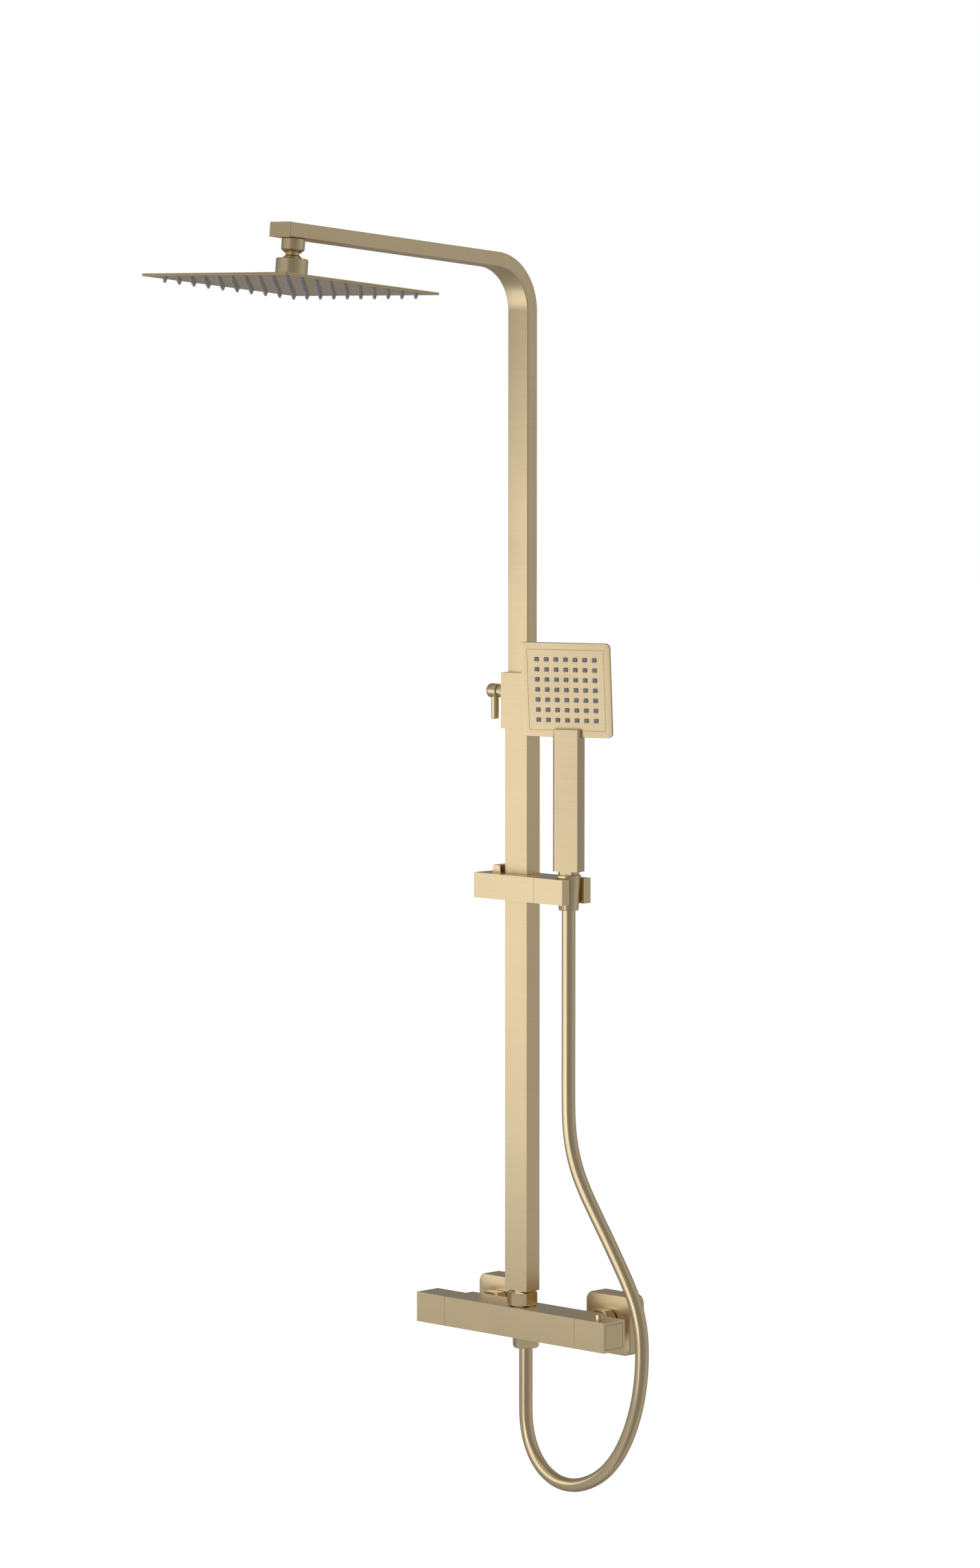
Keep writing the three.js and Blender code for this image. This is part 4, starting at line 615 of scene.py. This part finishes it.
def make_stop_button():
    low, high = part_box("stop_button")
    place = middle("stop_button")
    top = (high[2] - low[2]) / MM
    radius = (high[0] - low[0]) / 2 / MM
    profile = [
        (0, 0),
        (radius, 0),
        (radius, top - 1.0),
        (radius - 0.15, top - 0.55),
        (radius - 0.6, top - 0.2),
        (radius - 1.3, top - 0.03),
        (0, top),
    ]
    button = turned("stop_button_cap", profile, frame_at((place.x, place.y, low[2]), (0, 0, 1)), 40)
    dress(button, SATIN, "satin_gold", "stop_button", "stop_button")


# ---------------------------------------------------------------- clamp


def make_clamp():
    low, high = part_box("clamp_knob")
    axis_y, axis_z = middle("clamp_lever").y, (low[2] + high[2]) / 2
    matrix = frame_at((low[0], axis_y, axis_z), (1, 0, 0), (0, 0, 1))
    radius, hub, pin = 7.1, 5.4, 3.0
    head_length, hub_end = 11.8, 16.7
    length = (high[0] - low[0]) / MM
    profile = [
        (0, 0),
        (radius - 1.0, 0),
        (radius - 0.35, 0.3),
        (radius, 1.0),
        (radius, head_length - 0.9),
        (radius - 0.3, head_length - 0.3),
        (radius - 0.9, head_length),
        (hub, head_length),
        (hub, hub_end),
        (pin, hub_end),
        (pin, length),
        (0, length),
    ]
    knob = turned("clamp_knob_head", profile, matrix, 56)
    lever_x = middle("clamp_lever").x
    socket_radius, socket_top = 4.1, -1  # the top is measured from the knob's axis
    socket = [(0, -21), (socket_radius, -21), (socket_radius, socket_top), (0, socket_top)]
    upright = frame_at((lever_x, axis_y, axis_z), (0, 0, 1))
    cut_away(knob, turned("lever_socket", socket, upright, 40))
    dress(knob, SATIN, "satin_gold", "clamp_knob", "clamp_knob")

    low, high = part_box("clamp_lever")
    reach = (high[2] - low[2]) / MM
    thickness, rounding, steps = 3.8, 1.4, 5
    profile = [(0, 0)]
    for i in range(1, steps + 1):
        angle = math.pi / 2 * i / steps
        out = thickness - rounding * (1 - math.sin(angle))
        profile.append((out, rounding * (1 - math.cos(angle))))
    profile += [(thickness, reach), (0, reach)]
    lever = turned("clamp_lever_pin", profile, frame_at((lever_x, axis_y, low[2]), (0, 0, 1)), 40)
    dress(lever, SATIN, "satin_gold", "clamp_knob", "clamp_lever")


# ---------------------------------------------------------------- upper tube and arm

ARM_RISE = math.radians(5.2)
BEND_RADIUS = 50.5
BEND_FOOT = 1002.0  # where the tube begins to bend, above the inlets' axis
ARM_REACH = 327.0  # from the tube's centre line to the arm's end, level
ARM_CAP_GAP = 1.5
STEM_HOLE = 6.9  # radius
UPPER_WIDTH = 27.0
UPPER_DEPTH = 14.0
TUBE_WALL = 1.2
EDGE = 1.1  # the tube's rounded edges


def arm_line(start_z, run):
    """The tube's centre line in its side view, as (y, z, angle from upright) in millimetres."""
    turn = math.pi / 2 - ARM_RISE
    steps = 40
    line = [(0, start_z, 0), (0, BEND_FOOT, 0)]
    for i in range(1, steps + 1):
        angle = turn * i / steps
        forward, up = 1 - math.cos(angle), math.sin(angle)
        line.append((-BEND_RADIUS * forward, BEND_FOOT + BEND_RADIUS * up, angle))
    y, z, _ = line[-1]
    line.append((y - run * math.cos(ARM_RISE), z + run * math.sin(ARM_RISE), turn))
    return line


def tube_rings(line, width, depth, corner, centre_y):
    """Rounded rectangles square to the line, one at each of its points."""
    rings = []
    for y, z, angle in line:
        out = Vector((0, math.cos(angle), math.sin(angle)))
        ring = []
        for across, deep in rounded_outline(width, depth, corner, 4):
            point = Vector((across, centre_y + y, z)) + out * deep
            ring.append(point * MM)
        rings.append(ring)
    return rings


def make_upper_tube():
    low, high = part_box("upper_tube")
    centre_y = (high[1] / MM) - UPPER_DEPTH / 2
    bend_reach = BEND_RADIUS * (1 - math.cos(math.pi / 2 - ARM_RISE))
    run = (ARM_REACH - bend_reach) / math.cos(ARM_RISE) - ARM_CAP_GAP
    line = arm_line(low[2] / MM, run)
    outer = tube_rings(line, UPPER_WIDTH, UPPER_DEPTH, EDGE, centre_y)
    inner_size = (UPPER_WIDTH - 2 * TUBE_WALL, UPPER_DEPTH - 2 * TUBE_WALL)
    inner = tube_rings(line, *inner_size, 0.4, centre_y)
    tube = loft("upper_tube_and_arm", [*outer, *inner[::-1]], cyclic=True, sharp=40)
    hole = [(0, -1), (STEM_HOLE, -1), (STEM_HOLE, 4), (0, 4)]
    cut_away(tube, turned("stem_hole", hole, neck_frame(), 40))
    dress(tube, LEVEL_GRAIN, "brushed_gold", "upper_column", "upper_tube")


# ---------------------------------------------------------------- rain head

BALL_DROP = 24.5  # the ball's centre, below the arm


def neck_frame():
    """The head's own frame: its origin on the arm's underside, its Z along the neck."""
    spin = next(joint for joint in frame["joints"] if joint["name"] == "head_spin")
    axis = Vector(spin["axis"])
    ball = Vector(spin["pos_m"])
    return frame_at(ball + axis * BALL_DROP * MM, axis)


def make_neck():
    neck = neck_frame()
    collar = [
        (STEM_HOLE, -13.5),
        (7.6, -13.5),
        (8.1, -13.3),
        (10.9, -10.75),
        (11.15, -10.3),
        (11.15, -0.7),
        (10.9, -0.4),
        (10.5, -0.3),
        (STEM_HOLE, -0.3),
    ]
    dress(turned("neck_collar", collar, neck, 64), SATIN, "satin_gold", "upper_column", "swivel_collar")

    ball_radius, bore, stem, stem_top = 11.0, 3.5, 6.6, 2.7
    profile = []
    first = math.asin(bore / ball_radius)
    last = math.pi - math.asin(stem / ball_radius)
    steps = 28
    for i in range(steps + 1):
        angle = first + (last - first) * i / steps
        profile.append((ball_radius * math.sin(angle), -BALL_DROP - ball_radius * math.cos(angle)))
    profile += [(stem, stem_top), (bore, stem_top)]
    dress(turned("neck_ball", profile, neck, 64), SATIN, "satin_gold", "upper_column", "ball_stem")

    nut = [
        (13.3, -40.5),
        (14.9, -40.5),
        (15.3, -40.1),
        (15.3, -20.3),
        (15.1, -19.6),
        (14.5, -19.1),
        (13.6, -19.0),
        (11.2, -19.0),
        (10.2, -19.3),
        (10.7, -21.0),
        (13.3, -23),
    ]
    dress(turned("head_ball_nut", nut, neck, 72), SATIN, "satin_gold", "head", "ball_nut")


HEAD_SIDE = 200.0
HEAD_TOP = -40.8  # heights in the neck's frame
HEAD_RIM_TOP = HEAD_TOP - 1.2
HEAD_SKIN = 0.4  # the back plate, over the mat
HEAD_GAP = 0.1
MAT_SHEET = 0.8
HEAD_FACE_TOP = HEAD_RIM_TOP - HEAD_SKIN - HEAD_GAP - MAT_SHEET - HEAD_GAP
HEAD_FACE_BOTTOM = HEAD_FACE_TOP - 0.9
HEAD_NOZZLES = 10  # along each side
HEAD_PITCH = 18.6
HEAD_HOLE = 2.7  # radius


def nozzle_places(count, pitch):
    """The centres of a square grid of nozzles, row by row."""
    steps = [(i - (count - 1) / 2) * pitch for i in range(count)]
    return [(x, y) for y in steps for x in steps]


def offset_frame(matrix, x, y):
    return matrix @ Matrix.Translation(Vector((x, y, 0)) * MM)


def make_head():
    neck = neck_frame()
    mat_side = HEAD_SIDE - 17.4
    pad = HEAD_SIDE - 38  # the raised middle of the back
    inlet, inlet_corner = 14, 6.9
    back = slab(
        "head_back",
        [
            (HEAD_SIDE - 0.6, HEAD_SIDE - 0.6, 2.8, HEAD_FACE_TOP + HEAD_GAP),
            (HEAD_SIDE, HEAD_SIDE, 3, HEAD_FACE_TOP + 0.35),
            (HEAD_SIDE, HEAD_SIDE, 3, HEAD_RIM_TOP - 0.4),
            (HEAD_SIDE - 0.8, HEAD_SIDE - 0.8, 2.8, HEAD_RIM_TOP),
            (pad + 10, pad + 10, 4, HEAD_RIM_TOP),
            (pad + 7, pad + 7, 4, HEAD_RIM_TOP + 0.25),
            (pad + 3, pad + 3, 4, HEAD_TOP - 0.2),
            (pad, pad, 4, HEAD_TOP),
            (inlet, inlet, inlet_corner, HEAD_TOP),
            (inlet, inlet, inlet_corner, HEAD_TOP - 0.5),
            (pad, pad, 4, HEAD_TOP - 0.5),
            (mat_side + 0.4, mat_side + 0.4, 1, HEAD_RIM_TOP - 0.5),
            (mat_side + 0.4, mat_side + 0.4, 1, HEAD_FACE_TOP + HEAD_GAP),
        ],
        neck,
        cyclic=True,
    )
    keep_flat(back)
    dress(back, PLATE_GRAIN, "brushed_gold", "head", "head_back_plate")

    plate = slab(
        "head_face",
        [
            (HEAD_SIDE - 0.5, HEAD_SIDE - 0.5, 2.8, HEAD_FACE_BOTTOM),
            (HEAD_SIDE, HEAD_SIDE, 3, HEAD_FACE_BOTTOM + 0.25),
            (HEAD_SIDE, HEAD_SIDE, 3, HEAD_FACE_TOP - 0.2),
            (HEAD_SIDE - 0.4, HEAD_SIDE - 0.4, 2.8, HEAD_FACE_TOP),
        ],
        neck,
    )
    hole = [
        (0, HEAD_FACE_BOTTOM - 1),
        (HEAD_HOLE, HEAD_FACE_BOTTOM - 1),
        (HEAD_HOLE, HEAD_FACE_TOP + 1),
        (0, HEAD_FACE_TOP + 1),
    ]
    places = nozzle_places(HEAD_NOZZLES, HEAD_PITCH)
    cutters = [turned("hole", hole, offset_frame(neck, x, y), 24) for x, y in places]
    cut_away(plate, joined("holes", cutters))
    keep_flat(plate)
    dress(plate, PLATE_GRAIN, "brushed_gold", "head", "head_face_plate")

    mat = slab(
        "head_mat_sheet",
        [
            (mat_side, mat_side, 1, HEAD_FACE_TOP + HEAD_GAP),
            (mat_side, mat_side, 1, HEAD_FACE_TOP + HEAD_GAP + MAT_SHEET),
        ],
        neck,
    )
    tip = HEAD_FACE_BOTTOM - 5
    nozzle = [
        (0, tip + 1.6),
        (0.55, tip + 1.6),
        (0.6, tip + 0.1),
        (0.85, tip),
        (1.15, tip + 0.1),
        (1.3, tip + 0.3),
        (1.35, tip + 1.5),
        (1.85, tip + 1.9),
        (2.0, HEAD_FACE_BOTTOM - 0.2),
        (2.1, HEAD_FACE_TOP + 0.12),
        (0, HEAD_FACE_TOP + 0.12),
    ]
    nozzles = [turned("nozzle", nozzle, offset_frame(neck, x, y), 20) for x, y in places]
    mat = joined("head_nozzles", [mat, *nozzles])
    dress(mat, SILICONE, "nozzle_silicone", "head", "head_nozzle_mat")


# ---------------------------------------------------------------- handset

HANDSET_YAW = math.radians(23.3)
HANDSET_LEAN = math.radians(5.8)
HANDSET_AXIS = (70, -72.05)
SLAB_CENTRE = 632.7  # above the inlets' axis
SLAB_FORWARD = 7.4
SLAB_SIDE = 93.5
HANDSET_NOZZLES = 7  # along each side
HANDSET_PITCH = 10.0


def handset_frame():
    """The handset's own frame: its Z up the grip's axis, and its X turned with the handset."""
    place = Vector((*HANDSET_AXIS, 0)) * MM
    return Matrix.Translation(place) @ Matrix.Rotation(HANDSET_YAW, 4, "Z")


def spray_frame():
    """The spray face's frame: its origin at the face's centre, its Z into the handset, its Y up."""
    centre = Matrix.Translation(Vector((0, -SLAB_FORWARD, SLAB_CENTRE)) * MM)
    lean = Matrix.Rotation(HANDSET_LEAN, 4, "X")
    lie = Matrix.Rotation(-math.pi / 2, 4, "X")
    return handset_frame() @ centre @ lean @ lie


def make_handset_head():
    spray = spray_frame()
    side = SLAB_SIDE
    shell = slab(
        "handset_head",
        [
            (79.9, 79.9, 0.9, 2.2),
            (79.9, 79.9, 0.9, 0.1),
            (80.1, 80.1, 1.0, 0.0),
            (side - 1.2, side - 1.2, 4.4, 0.0),
            (side - 0.35, side - 0.35, 4.8, 0.25),
            (side, side, 5, 0.85),
            (side, side, 5, 2.2),
            (side - 0.7, side - 0.7, 5, 3.0),
            (side - 2.6, side - 2.6, 5, 3.6),
            (side - 7, side - 7, 6, 5.2),
            (side - 12, side - 12, 7, 7.2),
            (side - 16, side - 16, 7, 8.5),
            (side - 20, side - 20, 7, 9.0),
        ],
        spray,
        sharp=32,
        steps=10,
    )
    keep_flat(shell)
    dress(shell, LEVEL_GRAIN, "brushed_gold", "handset", "handset_shell")

    face = slab(
        "handset_face",
        [
            (79.6, 79.6, 0.8, 1.8),
            (79.6, 79.6, 0.8, 0.1),
            (79.4, 79.4, 0.7, 0.0),
        ],
        spray,
    )
    places = nozzle_places(HANDSET_NOZZLES, HANDSET_PITCH)
    hole = [(4.4, 4.4, 0.5, -1), (4.4, 4.4, 0.5, 3)]
    cutters = [slab("hole", hole, offset_frame(spray, x, y), steps=3) for x, y in places]
    cut_away(face, joined("holes", cutters))
    keep_flat(face)
    dress(face, LEVEL_GRAIN, "brushed_gold", "handset", "handset_face_plate")

    mat = slab("mat_sheet", [(79.4, 79.4, 2, 1.9), (79.4, 79.4, 2, 2.15)], spray)
    nozzle = [
        (1.0, 1.0, 0.49, -0.4),
        (1.3, 1.3, 0.64, -1.95),
        (3.3, 3.3, 0.4, -2.0),
        (3.6, 3.6, 0.4, -1.85),
        (3.8, 3.8, 0.4, -1.4),
        (3.9, 3.9, 0.4, 1.95),
    ]
    nozzles = [slab("nozzle", nozzle, offset_frame(spray, x, y), steps=3) for x, y in places]
    mat = joined("handset_nozzles", [mat, *nozzles])
    dress(mat, SILICONE, "nozzle_silicone", "handset", "handset_nozzle_mat")


def make_cone():
    bottom, ledge, top = 416.0, 440.8, 451.0
    bore, socket, collar = 7.05, 8.9, 12.2
    profile = [
        (bore, bottom),
        (9.0, bottom),
        (9.5, bottom + 0.2),
        (9.8, bottom + 0.8),
        (collar - 0.55, top - 3.4),
        (collar - 0.3, top - 3.1),
        (collar, top - 2.6),
        (collar, top - 0.7),
        (collar - 0.2, top - 0.2),
        (collar - 0.7, top),
        (socket, top),
        (socket, ledge),
        (bore, ledge),
    ]
    cone = turned("handset_cone_nut", profile, handset_frame(), 64)
    dress(cone, SATIN, "satin_gold", "handset_cone", "hose_cone_nut")


# ---------------------------------------------------------------- CAD pieces that stay

CARRIED = [
    (VALVE_GRAIN, 0.5, ["valve_body", "flow_handle", "temperature_handle"]),
    (VALVE_GRAIN, 0.35, ["flow_handle_cap", "temperature_handle_cap"]),
    (LEVEL_GRAIN, 0.7, ["lower_tube"]),
    (LEVEL_GRAIN, 1.0, ["lock_collar"]),
    (LEVEL_GRAIN, 0.5, ["bracket_arm", "bracket_flange", "arm_end_cap"]),
    (VALVE_GRAIN, 0.5, ["slider_body", "holder_fork"]),
    (LEVEL_GRAIN, 0.4, ["handset_grip"]),
    (SATIN, 0.6, ["release_button"]),
    (SATIN, 0.3, ["riser_spigot"]),
    (
        BRASS,
        0.2,
        [
            "flow_spindle",
            "thermostatic_cartridge",
            "temperature_spindle",
            "hot_inlet_connector",
            "cold_inlet_connector",
        ],
    ),
    (
        STEEL,
        0.1,
        [
            "flow_handle_screw",
            "temperature_handle_screw",
            "stop_button_spring",
            "bracket_screw",
            "pivot_bolt",
            "release_spring",
        ],
    ),
    (
        RUBBER,
        0.1,
        [
            "hot_filter_washer",
            "cold_filter_washer",
            "riser_washer",
            "collar_seal",
            "ball_seal",
            "handset_washer",
            "outlet_washer",
        ],
    ),
    (
        PLASTIC,
        0.1,
        [
            "flow_cartridge",
            "limit_stop_ring",
            "telescope_guide",
            "ball_seat",
            "slider_liner",
            "handset_water_tube",
        ],
    ),
]


def dress_carried_nodes():
    """Gives the CAD nodes that no piece stands for their materials and rounded edges."""
    for material, edge, names in CARRIED:
        for name in names:
            node = frame["nodes"][name]
            node.data.materials.clear()
            node.data.materials.append(material)
            soften(node, edge)


make_camera()
make_hose()
make_world()
make_floor()
make_area_light("key", (-0.6, -1.2, 0.38), (0, -0.07, 0.45), (2.1, 0.95), 4.2)
make_area_light("low", (0.0, -1.3, -0.15), (0, -0.06, -0.1), (0.4, 0.5), 0.5)
make_flanges()
make_nuts()
make_stop_button()
make_clamp()
make_upper_tube()
make_neck()
make_head()
make_handset_head()
make_cone()
dress_carried_nodes()
